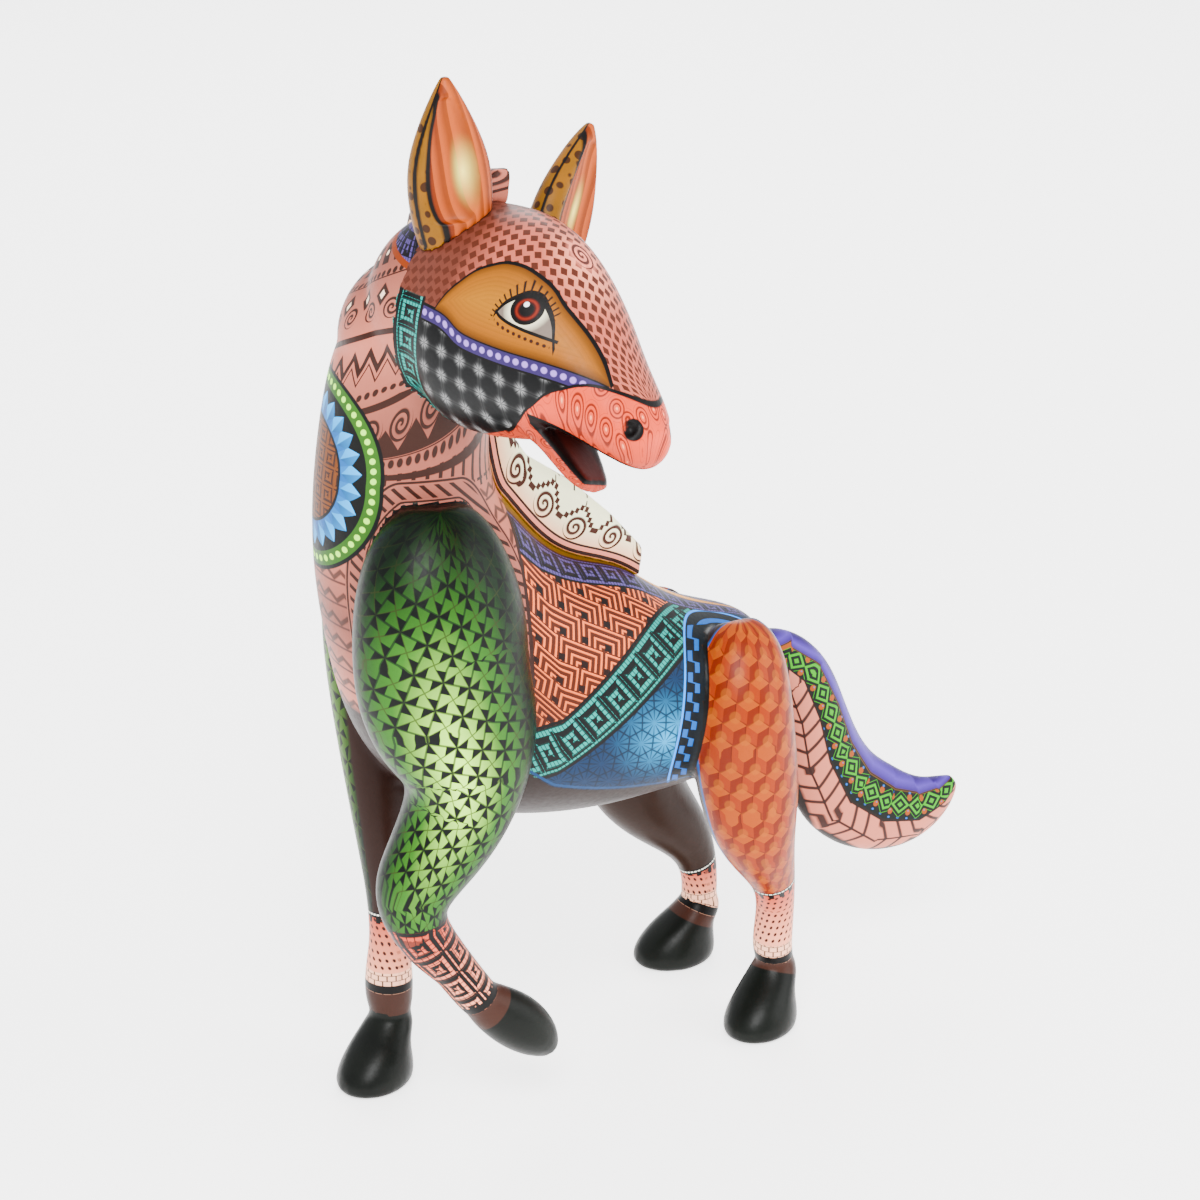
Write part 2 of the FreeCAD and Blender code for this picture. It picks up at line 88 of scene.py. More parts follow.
def union_skin(names, voxel):
    """One closed skin around the CAD nodes, remeshed into even quads."""
    maker = bmesh.new()
    for name in names:
        points, faces = node_arrays(name)
        verts = [maker.verts.new(p) for p in points]
        for a, b, c in faces:
            if a != b and b != c and a != c:
                try:
                    maker.faces.new((verts[a], verts[b], verts[c]))
                except ValueError:
                    pass
    bmesh.ops.remove_doubles(maker, verts=maker.verts, dist=1e-6)
    mesh = bpy.data.meshes.new("skin")
    maker.to_mesh(mesh)
    maker.free()
    obj = bpy.data.objects.new("skin", mesh)
    bpy.context.scene.collection.objects.link(obj)
    modifier = obj.modifiers.new("remesh", "REMESH")
    modifier.mode = "VOXEL"
    modifier.voxel_size = voxel
    depsgraph = bpy.context.evaluated_depsgraph_get()
    mesh = bpy.data.meshes.new_from_object(obj.evaluated_get(depsgraph))
    bpy.data.objects.remove(obj)
    return mesh


def coords(mesh):
    points = np.empty(len(mesh.vertices) * 3)
    mesh.vertices.foreach_get("co", points)
    return points.reshape(-1, 3)


def edges_of(mesh):
    pairs = np.empty(len(mesh.edges) * 2, dtype=np.int64)
    mesh.edges.foreach_get("vertices", pairs)
    return pairs.reshape(-1, 2)


def relax(points, pairs, rounds, weight):
    """Taubin smoothing, scaled by a weight per vertex, so that nothing shrinks."""
    count = np.bincount(pairs.ravel(), minlength=len(points))[:, None]
    for _ in range(rounds):
        for factor in (0.62, -0.64):
            total = np.zeros_like(points)
            for axis in range(3):
                total[:, axis] = np.bincount(pairs[:, 0], points[pairs[:, 1], axis], len(points))
                total[:, axis] += np.bincount(pairs[:, 1], points[pairs[:, 0], axis], len(points))
            points = points + factor * weight[:, None] * (total / np.maximum(count, 1) - points)
    return points


def keep_biggest_shell(mesh):
    """Drops any closed shell left inside the skin."""
    parent = np.arange(len(mesh.vertices))
    pairs = edges_of(mesh)
    changed = True
    while changed:
        low = np.minimum(parent[pairs[:, 0]], parent[pairs[:, 1]])
        before = parent.copy()
        np.minimum.at(parent, pairs[:, 0], low)
        np.minimum.at(parent, pairs[:, 1], low)
        parent = parent[parent]
        changed = bool((before != parent).any())
    labels, counts = np.unique(parent, return_counts=True)
    if len(labels) == 1:
        return mesh
    keep = parent == labels[np.argmax(counts)]
    maker = bmesh.new()
    maker.from_mesh(mesh)
    maker.verts.ensure_lookup_table()
    bmesh.ops.delete(maker, geom=[v for v in maker.verts if not keep[v.index]], context="VERTS")
    maker.to_mesh(mesh)
    maker.free()
    return mesh


def set_coords(mesh, points):
    mesh.vertices.foreach_set("co", np.ascontiguousarray(points, dtype=np.float32).ravel())
    mesh.update()


def normals_of(mesh):
    normals = np.empty(len(mesh.vertices) * 3)
    mesh.vertices.foreach_get("normal", normals)
    return normals.reshape(-1, 3)


def store(mesh, name, values):
    """A float or a vector per vertex, read by the materials."""
    vector = values.ndim == 2
    layer = mesh.attributes.new(name, "FLOAT_VECTOR" if vector else "FLOAT", "POINT")
    layer.data.foreach_set("vector" if vector else "value", values.astype(np.float32).ravel())


def along_line(points, line):
    """For each point: length along the line, nearest place on the line, and its direction there."""
    line = np.array(line, dtype=float)
    best = np.full(len(points), 1e9)
    length = np.zeros(len(points))
    place = np.zeros_like(points)
    heading = np.zeros_like(points)
    run = 0.0
    for start, end in zip(line[:-1], line[1:]):
        step = end - start
        span = np.linalg.norm(step)
        share = np.clip((points - start) @ step / span ** 2, 0, 1)
        near = start + share[:, None] * step
        distance = np.linalg.norm(points - near, axis=1)
        closer = distance < best
        best[closer] = distance[closer]
        length[closer] = run + share[closer] * span
        place[closer] = near[closer]
        heading[closer] = step / span
        run += span
    return length, place, heading


LEG_LINES = {
    "front_left_leg": [(-74, -8, 168), (-74.4, -7.5, 135), (-72.6, -8.5, 118), (-69, -9, 102),
                       (-71, -9, 90), (-77.6, -9, 79), (-83, -9, 69.5), (-82, -9, 60), (-73.6, -9, 47),
                       (-65, -9, 35), (-54.6, -9, 25.8), (-46, -9, 17)],
    "front_right_leg": [(-61, 44, 160), (-61.6, 46.6, 140), (-64, 47, 122), (-67, 44.6, 104),
                        (-70, 39, 86), (-72, 32.6, 67), (-73.2, 28.6, 52), (-74, 27, 38), (-74, 27, 17.5),
                        (-80, 23.5, 0)],
    "rear_left_leg": [(15.4, 2, 118), (14, -3.8, 89), (15, -4.8, 73), (18.6, -3.8, 59), (24.4, -0.6, 47),
                      (28, 2.6, 37), (30, 5.6, 17.5), (24, 2, 0)],
    "rear_right_leg": [(14, 40, 113), (11, 45, 97), (8, 48, 81), (9, 49, 64), (16.4, 48.6, 48),
                       (26, 48, 36.5), (30, 48, 27), (30.4, 48, 17.5), (22, 48, 0)],
}


def skin_attributes(mesh):
    """Which block each vertex belongs to, how far the next block is, and coordinates along the limbs."""
    points = coords(mesh)
    distance = np.empty((len(points), len(SKIN)))
    for column, name in enumerate(SKIN):
        tree = tree_of(name)
        distance[:, column] = [tree.find_nearest(p)[3] for p in points.tolist()]
    owner = distance.argmin(axis=1)
    ordered = np.sort(distance, axis=1)
    edge = (ordered[:, 1] - ordered[:, 0]) * 1000
    mm = points * 1000
    limb = np.zeros_like(mm)
    for column, name in enumerate(SKIN):
        if name not in LEG_LINES:
            continue
        mine = owner == column
        side = -1.0 if "left" in name else 1.0
        length, place, heading = along_line(mm[mine], LEG_LINES[name])
        offset = mm[mine] - place
        outward = np.tile([0.0, side, 0.0], (mine.sum(), 1))
        ahead = np.cross(outward, heading) * -side
        around = np.arctan2((offset * ahead).sum(1), (offset * outward).sum(1))
        limb[mine] = np.stack([around, length, np.cos(around)], 1)
    body = owner == 0
    x, y, z = mm[body].T
    axis_z = np.interp(x, [-54, -41.6, -19.6, 2.4, 33], [119, 109, 103, 97.5, 98])
    torso = np.arctan2(np.abs(y - MIDDLE_Y), z - axis_z)
    neck_x = np.interp(z, [117, 133, 151, 172, 193, 206, 230], [-54, -64, -69, -70.6, -69.1, -67.8, -66])
    neck_y = np.interp(z, [151, 172, 193, 206, 230], [22.1, 21.1, 18.1, 16.1, 13])
    neck = np.arctan2(-(y - neck_y), -(x - neck_x))
    limb[body] = np.stack([neck, torso, neck], 1)
    store(mesh, "limb", limb)
    store(mesh, "edge", edge)
    return owner


def split_by_owner(mesh, owner, names):
    """One object per block from the one skin, with the skin's own smooth normals kept."""
    normals = normals_of(mesh)
    faces = [tuple(p.vertices) for p in mesh.polygons]
    corner = np.array([owner[list(f)].max() for f in faces])
    points = coords(mesh)
    layers = {a.name: a for a in mesh.attributes if a.name in ("limb", "edge")}
    values = {}
    for key, layer in layers.items():
        if layer.data_type == "FLOAT_VECTOR":
            data = np.empty(len(points) * 3, dtype=np.float32)
            layer.data.foreach_get("vector", data)
            values[key] = data.reshape(-1, 3)
        else:
            data = np.empty(len(points), dtype=np.float32)
            layer.data.foreach_get("value", data)
            values[key] = data
    result = {}
    for column, name in enumerate(names):
        mine = [f for f, c in zip(faces, corner) if c == column]
        used = np.unique(np.concatenate([np.array(f) for f in mine]))
        lookup = np.full(len(points), -1)
        lookup[used] = np.arange(len(used))
        part = bpy.data.meshes.new(name + "_skin")
        part.from_pydata(points[used].tolist(), [], [[int(lookup[i]) for i in f] for f in mine])
        for key, data in values.items():
            store(part, key, data[used])
        part.polygons.foreach_set("use_smooth", [True] * len(part.polygons))
        part.update()
        part.normals_split_custom_set_from_vertices(normals[used].tolist())
        obj = bpy.data.objects.new("painted_" + name, part)
        bpy.context.scene.collection.objects.link(obj)
        result[name] = obj
    return result


def head_mm(points):
    offset = points * 1000 - HEAD_AT
    return offset @ FORWARD, offset @ RIGHT, offset @ UP


# ---------------------------------------------------------------- painting with nodes

# The studio view turns scene light into screen colour by mixing the channels a little and then
# bending them along an S-curve. Paints are chosen as seen and turned back through it.
MIXING = np.array([[0.84248, 0.07843, 0.07922], [0.04233, 0.87847, 0.07917], [0.04238, 0.07843, 0.87914]])
STOPS = np.linspace(0.02, 1.0, 400)
BENT = (15.5 * STOPS ** 6 - 40.14 * STOPS ** 5 + 31.96 * STOPS ** 4 - 6.868 * STOPS ** 3
        + 0.4298 * STOPS ** 2 + 0.1191 * STOPS - 0.00232)
# The light level that the paints are worked out for.
LIT = 3.4


class Value:
    """A number in the material being painted."""

    def __init__(self, socket):
        self.socket = socket

    def __add__(self, other):
        return math_node("ADD", self, other)

    def __radd__(self, other):
        return math_node("ADD", other, self)

    def __sub__(self, other):
        return math_node("SUBTRACT", self, other)

    def __rsub__(self, other):
        return math_node("SUBTRACT", other, self)

    def __mul__(self, other):
        return math_node("MULTIPLY", self, other)

    def __rmul__(self, other):
        return math_node("MULTIPLY", other, self)

    def __truediv__(self, other):
        return math_node("DIVIDE", self, other)

    def __neg__(self):
        return math_node("MULTIPLY", self, -1)


current = {"tree": None, "cache": {}}


def math_node(kind, a, b=None, clamp=False):
    tree = current["tree"]
    node = tree.nodes.new("ShaderNodeMath")
    node.operation = kind
    node.use_clamp = clamp
    for index, value in enumerate((a, b)):
        if isinstance(value, Value):
            tree.links.new(value.socket, node.inputs[index])
        elif value is not None:
            node.inputs[index].default_value = float(value)
    return Value(node.outputs[0])


def size(a):
    return math_node("ABSOLUTE", a)


def floor(a):
    return math_node("FLOOR", a)


def fract(a):
    return math_node("FRACT", a)


def largest(a, b):
    return math_node("MAXIMUM", a, b)


def smallest(a, b):
    return math_node("MINIMUM", a, b)


def angle(v, u):
    return math_node("ARCTAN2", v, u)


def hypot(u, v):
    return math_node("SQRT", u * u + v * v)


def below(x, edge, soft=0.12):
    return math_node("ADD", (edge - x) * (1 / soft), 0.5, clamp=True)


def above(x, edge, soft=0.12):
    return math_node("ADD", (x - edge) * (1 / soft), 0.5, clamp=True)


def between(x, low, high, soft=0.12):
    return above(x, low, soft) * below(x, high, soft)


def line(x, centre, width, soft=0.12):
    return below(size(x - centre), width / 2, soft)


def cell(x, pitch):
    """Which cell of this pitch x lies in, and how far from the cell's middle."""
    scaled = x * (1 / pitch)
    index = floor(scaled)
    return index, (scaled - index - 0.5) * pitch


def odd(index):
    return math_node("MODULO", size(index), 2)


def triangle(x, pitch):
    """A zigzag from 0 to 1 and back over each pitch."""
    return size(fract(x * (1 / pitch)) * 2 - 1)


def turned(u, v, degrees):
    c, s = math.cos(math.radians(degrees)), math.sin(math.radians(degrees))
    return u * c + v * s, v * c - u * s


def rgb(code):
    """The paint that looks like this colour, given as six hex digits, under the studio's light."""
    seen = np.array([int(code[i:i + 2], 16) / 255 for i in (0, 2, 4)])
    stops = np.interp(MIXING @ seen, BENT, STOPS)
    light = np.linalg.inv(MIXING) @ (2.0 ** (stops * 16.5 - 12.474))
    if light[2] < 0:
        light = light * (0.42, 0.95, 0.42)  # too vivid for the view: deeper, and leaning to yellow
    return tuple(float(c) for c in np.clip(light / LIT, 0.001, 0.93)) + (1.0,)


def mix(under, over, share):
    """One paint over another where share is 1."""
    tree = current["tree"]
    node = tree.nodes.new("ShaderNodeMix")
    node.data_type = "RGBA"
    for index, value in ((6, under), (7, over)):
        if isinstance(value, tuple):
            node.inputs[index].default_value = value
        else:
            tree.links.new(value, node.inputs[index])
    if isinstance(share, Value):
        tree.links.new(share.socket, node.inputs[0])
    else:
        node.inputs[0].default_value = share
    return node.outputs[2]


def place():
    """Millimetre coordinates in the part's own frame."""
    if "place" not in current["cache"]:
        tree = current["tree"]
        node = tree.nodes.new("ShaderNodeTexCoord")
        split = tree.nodes.new("ShaderNodeSeparateXYZ")
        tree.links.new(node.outputs["Object"], split.inputs[0])
        current["cache"]["place"] = [Value(split.outputs[i]) * 1000 for i in range(3)]
    return current["cache"]["place"]


def carried(name, vector=False):
    """A value stored on the mesh."""
    if name not in current["cache"]:
        tree = current["tree"]
        node = tree.nodes.new("ShaderNodeAttribute")
        node.attribute_name = name
        if vector:
            split = tree.nodes.new("ShaderNodeSeparateXYZ")
            tree.links.new(node.outputs["Vector"], split.inputs[0])
            current["cache"][name] = [Value(split.outputs[i]) for i in range(3)]
        else:
            current["cache"][name] = Value(node.outputs["Fac"])
    return current["cache"][name]


def in_head():
    """Forward, across and up in the head's own axes."""
    x, y, z = place()
    shifted = [x - HEAD_AT[0], y - HEAD_AT[1], z - HEAD_AT[2]]
    result = []
    for axis in (FORWARD, RIGHT, UP):
        result.append(shifted[0] * axis[0] + shifted[1] * axis[1] + shifted[2] * axis[2])
    return result


def curve(x, points):
    """A smooth curve through the points, read at x."""
    tree = current["tree"]
    low, high = points[0][0], points[-1][0]
    values = [v for _, v in points]
    floor_v, span = min(values), max(values) - min(values)
    node = tree.nodes.new("ShaderNodeFloatCurve")
    line_ = node.mapping.curves[0]
    spots = [((p - low) / (high - low), (v - floor_v) / span) for p, v in points]
    line_.points[0].location = spots[0]
    line_.points[1].location = spots[-1]
    for spot in spots[1:-1]:
        line_.points.new(*spot)
    node.mapping.update()
    scaled = (x - low) * (1 / (high - low))
    tree.links.new(scaled.socket, node.inputs["Value"])
    return Value(node.outputs[0]) * span + floor_v


def noise(scale, detail=2.0):
    tree = current["tree"]
    node = tree.nodes.new("ShaderNodeTexNoise")
    node.inputs["Scale"].default_value = scale
    node.inputs["Detail"].default_value = detail
    texture = tree.nodes.new("ShaderNodeTexCoord")
    tree.links.new(texture.outputs["Object"], node.inputs["Vector"])
    return Value(node.outputs["Fac"])


def spiral(u, v, radius, pitch, handed=1):
    reach = hypot(u, v)
    arm = fract(reach * (1 / pitch) - angle(v, u) * (handed / math.tau))
    return below(arm, 0.5, 0.2) * below(reach, radius, 0.15)


def fret(u, v, half, pitch):
    """A square spiral."""
    reach = largest(size(u), size(v))
    quarter = floor(angle(v, u) * (4 / math.tau) + 0.5) * 0.25
    arm = fract(reach * (1 / pitch) - quarter)
    return below(arm, 0.46, 0.16) * below(reach, half, 0.15)


def dots(u, v, pitch_u, pitch_v, radius):
    _, a = cell(u, pitch_u)
    _, b = cell(v, pitch_v)
    return below(hypot(a, b), radius, 0.2)


def diamond(u, v, half_u, half_v):
    return below(size(u) * (1 / half_u) + size(v) * (1 / half_v), 1, 0.15)


def hexagon(u, v, pitch):
    """Offsets from the middle of the nearest cell of a hexagonal grid."""
    tall = pitch * math.sqrt(3)
    _, a1 = cell(u, pitch)
    _, b1 = cell(v, tall)
    _, a2 = cell(u + pitch / 2, pitch)
    _, b2 = cell(v + tall / 2, tall)
    first = below(a1 * a1 + b1 * b1, a2 * a2 + b2 * b2, 0.001)
    return a2 + (a1 - a2) * first, b2 + (b1 - b2) * first


def key_band(u, v, pitch, ground, paint):
    """Squared meander in a band: u runs along it, v across it from -1 to 1."""
    _, a = cell(u, pitch)
    b = v * (pitch / 2)
    hook = fret(a, b, pitch * 0.46, pitch * 0.30)
    rails = either(line(v, 0.94, 0.14, 0.05), line(v, -0.94, 0.14, 0.05))
    seams = either(line(fract(u * (7 / pitch)), 0.5, 0.2, 0.1), line(fract(v * 3.5), 0.5, 0.2, 0.1))
    colour = mix(ground, paint, either(hook, rails))
    return mix(colour, ground, seams * 0.95)


def either(a, b):
    return largest(a, b)


def painted(name, paint, bump=0.25):
    """A material with the colour and roughness that paint() gives, brush marks and wood relief."""
    material = bpy.data.materials.new(name)
    material.use_nodes = True
    tree = material.node_tree
    tree.nodes.clear()
    current["tree"] = tree
    current["cache"] = {}
    colour, roughness = paint()
    shader = tree.nodes.new("ShaderNodeBsdfPrincipled")
    output = tree.nodes.new("ShaderNodeOutputMaterial")
    tree.links.new(shader.outputs[0], output.inputs[0])
    streak = noise(900, 3)
    cloud = noise(60, 2)
    shade = mix(colour, (0.004, 0.003, 0.002, 1), (cloud - 0.42) * 0.16 + (streak - 0.5) * 0.10)
    tree.links.new(shade, shader.inputs["Base Color"])
    rough = streak * 0.22 + (roughness - 0.11)
    tree.links.new(rough.socket, shader.inputs["Roughness"])
    shader.inputs["Specular IOR Level"].default_value = 0.09
    relief = tree.nodes.new("ShaderNodeBump")
    relief.inputs["Strength"].default_value = bump
    relief.inputs["Distance"].default_value = 0.0002
    height = streak * 0.6 + noise(220, 2)
    tree.links.new(height.socket, relief.inputs["Height"])
    tree.links.new(relief.outputs[0], shader.inputs["Normal"])
    return material


# ---------------------------------------------------------------- the paints

BROWN = rgb("5E2F22")
DARK_BROWN = rgb("3A211A")
BLACK = rgb("14100F")
GOLD = rgb("E8A53A")
TEAL = rgb("58C4BC")
NIGHT = rgb("081212")
LILAC = rgb("C9B6E0")
ORANGE = rgb("E7702C")


def paint_head():
    f, r, u = in_head()
    side = size(r)
    round_ = angle(side, u + 6) * curve(f, [(-28, 22), (0, 24), (20, 18), (35, 12), (44, 8)])
    # Forehead: pink with rows of small brown diamonds, darker behind.
    row, b = cell(round_, 2.2)
    _, a = cell(f + odd(row) * 1.25, 2.5)
    ground = mix(rgb("DC9A88"), rgb("A4604E"), between(f, -40, -8, 10))
    # A soft pale glow on the middle of the forehead: partly a paler blaze round the spiral, partly a
    # painted highlight.
    ground = mix(ground, rgb("F6CDBE"), below(hypot(f - 10, (r - 2) * 1.1), 7, 9) * 0.7)
    colour = mix(ground, rgb("8E4732"), diamond(a, b, 1.12, 1.0))
    colour = mix(colour, rgb("EDC0B2"), below(hypot(f - 8, r - 1), 3.6, 2.0) * 0.8)
    colour = mix(colour, rgb("8A4B40"), spiral(f - 8, r - 1, 3.3, 1.5))
    # Muzzle: coral, closely covered with rings.
    tree = current["tree"]
    packed = tree.nodes.new("ShaderNodeTexVoronoi")
    packed.voronoi_dimensions = "2D"
    packed.inputs["Scale"].default_value = 1.0
    packed.inputs["Randomness"].default_value = 0.3
    joined = tree.nodes.new("ShaderNodeCombineXYZ")
    tree.links.new((f * 0.235).socket, joined.inputs[0])
    tree.links.new((angle(r, u + 26) * 4.6).socket, joined.inputs[1])
    tree.links.new(joined.outputs[0], packed.inputs["Vector"])
    ring = Value(packed.outputs["Distance"])
    rings = below(fract(ring * 5.6 + 0.1), 0.42, 0.2) * below(ring, 0.52, 0.06)
    coral = mix(rgb("EE8C70"), rgb("C04A30"), rings)
    coral = mix(coral, rgb("F7C9B4"), below(ring, 0.06, 0.05))
    coral = mix(coral, rgb("B5482F"), below(u, -17, 8) * 0.5)
    top_edge = curve(f, [(-30, -30), (4, -22), (14, -13.5), (21.7, -7.2), (31.6, -4.2), (42, -9.8)])
    muzzle = below(u, top_edge, 0.2)
    colour = mix(colour, coral, muzzle)
    # Cheek: black with a soft pale star grid.
    _, pa = cell(f + 2, 5.6)
    _, pb = cell(u + (f + 2) * 0.12, 5.6)
    glow = below(hypot(pa, pb), 1.1, 2.8)
    plaid = either(line(pa, 0, 0.9, 1.2), line(pb, 0, 0.9, 1.2))
    straight = either(line(pa, 0, 0.3, 0.15), line(pb, 0, 0.3, 0.15))
    threads = either(straight, line(size(pa), size(pb), 0.3, 0.15))
    cheek = mix(rgb("0C0D0F"), rgb("F2F5F6"), clamp(glow * glow * glow * 0.75 + plaid * plaid * 0.03))
    cheek = mix(cheek, rgb("0C0D0F"), threads * 0.8)
    low = curve(f, [(-30, 2.4), (-13.8, 1.8), (-4, -1.6), (5.7, -2.2), (16, -2.2), (25, -2.6), (33, -4.2)])
    below_patch = below(u, low - 3.4, 0.15)
    in_cheek = below_patch * above(u, top_edge, 0.15) * below(f, 31, 0.3)
    colour = mix(colour, cheek, in_cheek)
    # Purple band with lilac dots along the top of the cheek.
    along = between(f, -24, 31.5, 0.3) * above(u, top_edge, 0.2)
    band = between(u, low - 3.6, low, 0.15) * along
    _, da = cell(f, 2.3)
    purple = mix(rgb("5F4C8E"), LILAC, below(hypot(da, u - low + 1.8), 0.75, 0.25))
    colour = mix(colour, purple, band)
    edges = either(line(u, low, 0.7), line(u, low - 3.6, 0.5)) * along
    colour = mix(colour, BLACK, edges)
    rim = line(u, top_edge, 0.8, 0.2) * above(f, 4, 0.5)
    colour = mix(colour, BLACK, rim)
    # Eye patch: a golden leaf with a black outline.
    top = curve(f, [(-14.5, 1.6), (-10, 9.6), (-4, 15.4), (1, 17.2), (8, 15.8),
                    (16, 10.6), (24, 4.6), (32, -3.6)])
    patch = below(u, top, 0.15) * above(u, low, 0.15) * between(f, -14.5, 32, 0.2)
    deep = smallest(top - u, u - low)
    gold = mix(rgb("8E5216"), rgb("F3A016"), clamp(deep * 0.4))
    gold = mix(gold, rgb("F6AE30"), clamp(deep * 0.2 - 0.6))
    gold = mix(gold, rgb("C8740C"), below(fract(deep * 0.9), 0.4, 0.5) * 0.16)
    colour = mix(colour, gold, patch)
    outline = line(u, top, 0.8) * between(f, -14.5, 32, 0.2)
    colour = mix(colour, BLACK, outline)
    # Eye: almond, iris, lashes and a dotted line beneath.
    lid = curve(f, [(2.4, 5.8), (5.2, 9.9), (9, 12.0), (12.8, 9.8), (17.2, 3.0)])
    under = curve(f, [(2.4, 5.8), (5.2, 4.4), (9, 3.7), (13, 3.3), (17.2, 3.0)])
    inside = between(u, under, lid, 0.12) * between(f, 2.4, 17.2, 0.2)
    e, g = f - 9.0, u - 8.2
    reach = hypot(e, g)
    # The eye white greys towards its corners: painted shade.
    white = mix(rgb("EFE9E0"), rgb("A99C92"), above(reach, 4.2, 2.5))
    iris = mix(rgb("8E1A10"), rgb("E2553A"), line(reach, 2.2, 0.5, 0.4))
    iris = mix(iris, rgb("5E1610"), above(reach, 2.9, 0.3))
    iris = mix(iris, BLACK, below(reach, 1.55, 0.15))
    # The white dot beside the pupil is a painted highlight.
    iris = mix(iris, rgb("FFFFFF"), below(hypot(e + 0.5, g - 1.1), 0.6, 0.15))
    eye = mix(white, iris, below(reach, 3.3, 0.15))
    eye = mix(eye, BLACK, line(reach, 3.2, 0.9))
    colour = mix(colour, eye, inside)
    rims = either(line(u, lid, 1.5), line(u, under, 0.8)) * between(f, 2.0, 18.2, 0.2)
    colour = mix(colour, BLACK, rims)
    fan_u, fan_v = f - 9.5, u - 2
    sweep = angle(fan_u, fan_v)
    out = hypot(fan_u, fan_v)
    hair = line(fract(sweep * 7.2 + out * 0.06), 0.5, 0.3, 0.12)
    lashes = hair * between(u, lid + 0.2, lid + 4.0, 0.3) * between(f, 1.2, 15.5, 0.2)
    colour = mix(colour, DARK_BROWN, lashes * below(u, top - 1.2, 0.2))
    _, fa = cell(f, 1.5)
    stitches = below(hypot(fa, u - under + 1.7), 0.42, 0.15) * between(f, 2.5, 17, 0.2)
    colour = mix(colour, BROWN, stitches)
    # Teal tiles along the back of the jaw.
    gap = carried("edge")
    jaw = below(gap, 8.5, 0.15) * below(u, 3.5, 0.3)
    tiles = key_band(angle(side, -u) * 24, (gap - 4.25) * (1 / 3.9), 8.0, NIGHT, TEAL)
    colour = mix(colour, tiles, jaw)
    colour = mix(colour, BLACK, either(line(gap, 8.6, 0.8), line(gap, 0.3, 0.7)) * below(u, 3.8, 0.3))
    # Mouth and nostrils.
    lip = curve(f, [(13, -16.8), (19, -19.2), (24, -21.6), (30, -24.4), (37, -27.5), (44, -30)])
    half = curve(f, [(13, 0.4), (19, 1.9), (24, 3.1), (30, 4.7), (37, 6.6), (44, 7.2)])
    mouth = below(size(u - lip), half + 0.45, 0.3) * above(f, 12.6, 0.3)
    throat = mix(rgb("2E0C0A"), rgb("7A241C"), below(side, 4.5, 2) * below(u, lip - half + 1.2, 0.5))
    colour = mix(colour, throat, mouth)
    lips = line(size(u - lip), half + 0.5, 0.9, 0.2) * above(f, 12.6, 0.3) * below(f, 40, 0.4)
    colour = mix(colour, BLACK, lips)
    hole = below(hypot(hypot(f - 40.2, side - 7.8), u + 11.2), 2.9, 0.3)
    colour = mix(colour, BLACK, hole)
    return colour, 0.4


def clamp(a):
    return math_node("ADD", a, 0, clamp=True)


def motif_rows(u, v):
    """Rows of brown motifs on pink, from the crest of the neck down to the chest."""
    colour = mix(rgb("BE8272"), rgb("DCA897"), triangle(v, 46))

    def row(low, high, motif, paint=BROWN):
        nonlocal colour
        colour = mix(colour, paint, motif * between(v, low, high, 0.1))

    _, a = cell(u + v * 0.7, 5.2)
    row(66, 72, line(a, 0, 3.0))
    row(66, 72, below(hypot(a, v - 69), 0.7, 0.2), rgb("F6E3DA"))
    row(62.4, 64.6, either(dots(u, v - 63.5 + 1.1, 2.2, 2.2, 0.75), line(v, 62.6, 0.35)))
    _, c = cell(u, 8.2)
    row(50.5, 61.5, diamond(c, v - 58.3, 2.4, 2.8))
    row(50.5, 61.5, diamond(c, v - 58.3, 1.0, 1.2), rgb("F6E3DA"))
    _, d = cell(u + 4.1, 8.2)
    row(50.5, 61.5, spiral(d, v - 54.6, 2.7, 1.4))
    row(47.6, 49.6, line(v, 48.6, 1.6))
    bolt = size(v - 41.5 - triangle(u, 5.4) * 5 + 2.5)
    row(36.0, 47.0, below(bolt, 1.3, 0.2))
    bolt2 = size(v - 38.3 - triangle(u, 5.4) * 5 + 2.5)
    row(34.0, 47.0, below(bolt2, 0.4, 0.2))
    row(31.6, 33.8, either(dots(u, v - 32.7 + 1.1, 2.2, 2.2, 0.75), line(v, 34.0, 0.35)))
    row(28.6, 30.6, line(v, 29.6, 1.5))
    _, e = cell(u, 7.4)
    row(19.5, 28.4, below(size(e) * 1.1 + (v - 20.0), 4.6, 0.2))
    _, g = cell(u + 3.7, 7.4)
    row(19.5, 28.4, spiral(g, v - 24.8, 2.9, 1.4))
    row(17.2, 19.4, either(dots(u, v - 18.3 + 1.1, 2.2, 2.2, 0.75), line(v, 19.4, 0.4)))
    _, h = cell(u, 3.6)
    comb = either(line(h, 0, 1.1), line(v, 16.0, 1.0))
    comb = either(comb, line(v, 11.0 + 1.4, 0.8) * below(h, 0.9, 0.2))
    row(10.5, 16.6, comb)
    row(-70, 9.8, line(fract(v * 0.16 + triangle(u, 5.0) * 0.35), 0.5, 0.24, 0.08) * 0.85)
    row(-70, 9.8, line(fract(v * 0.16 + 0.5), 0.5, 0.10, 0.05), rgb("8A5045"))
    return colour


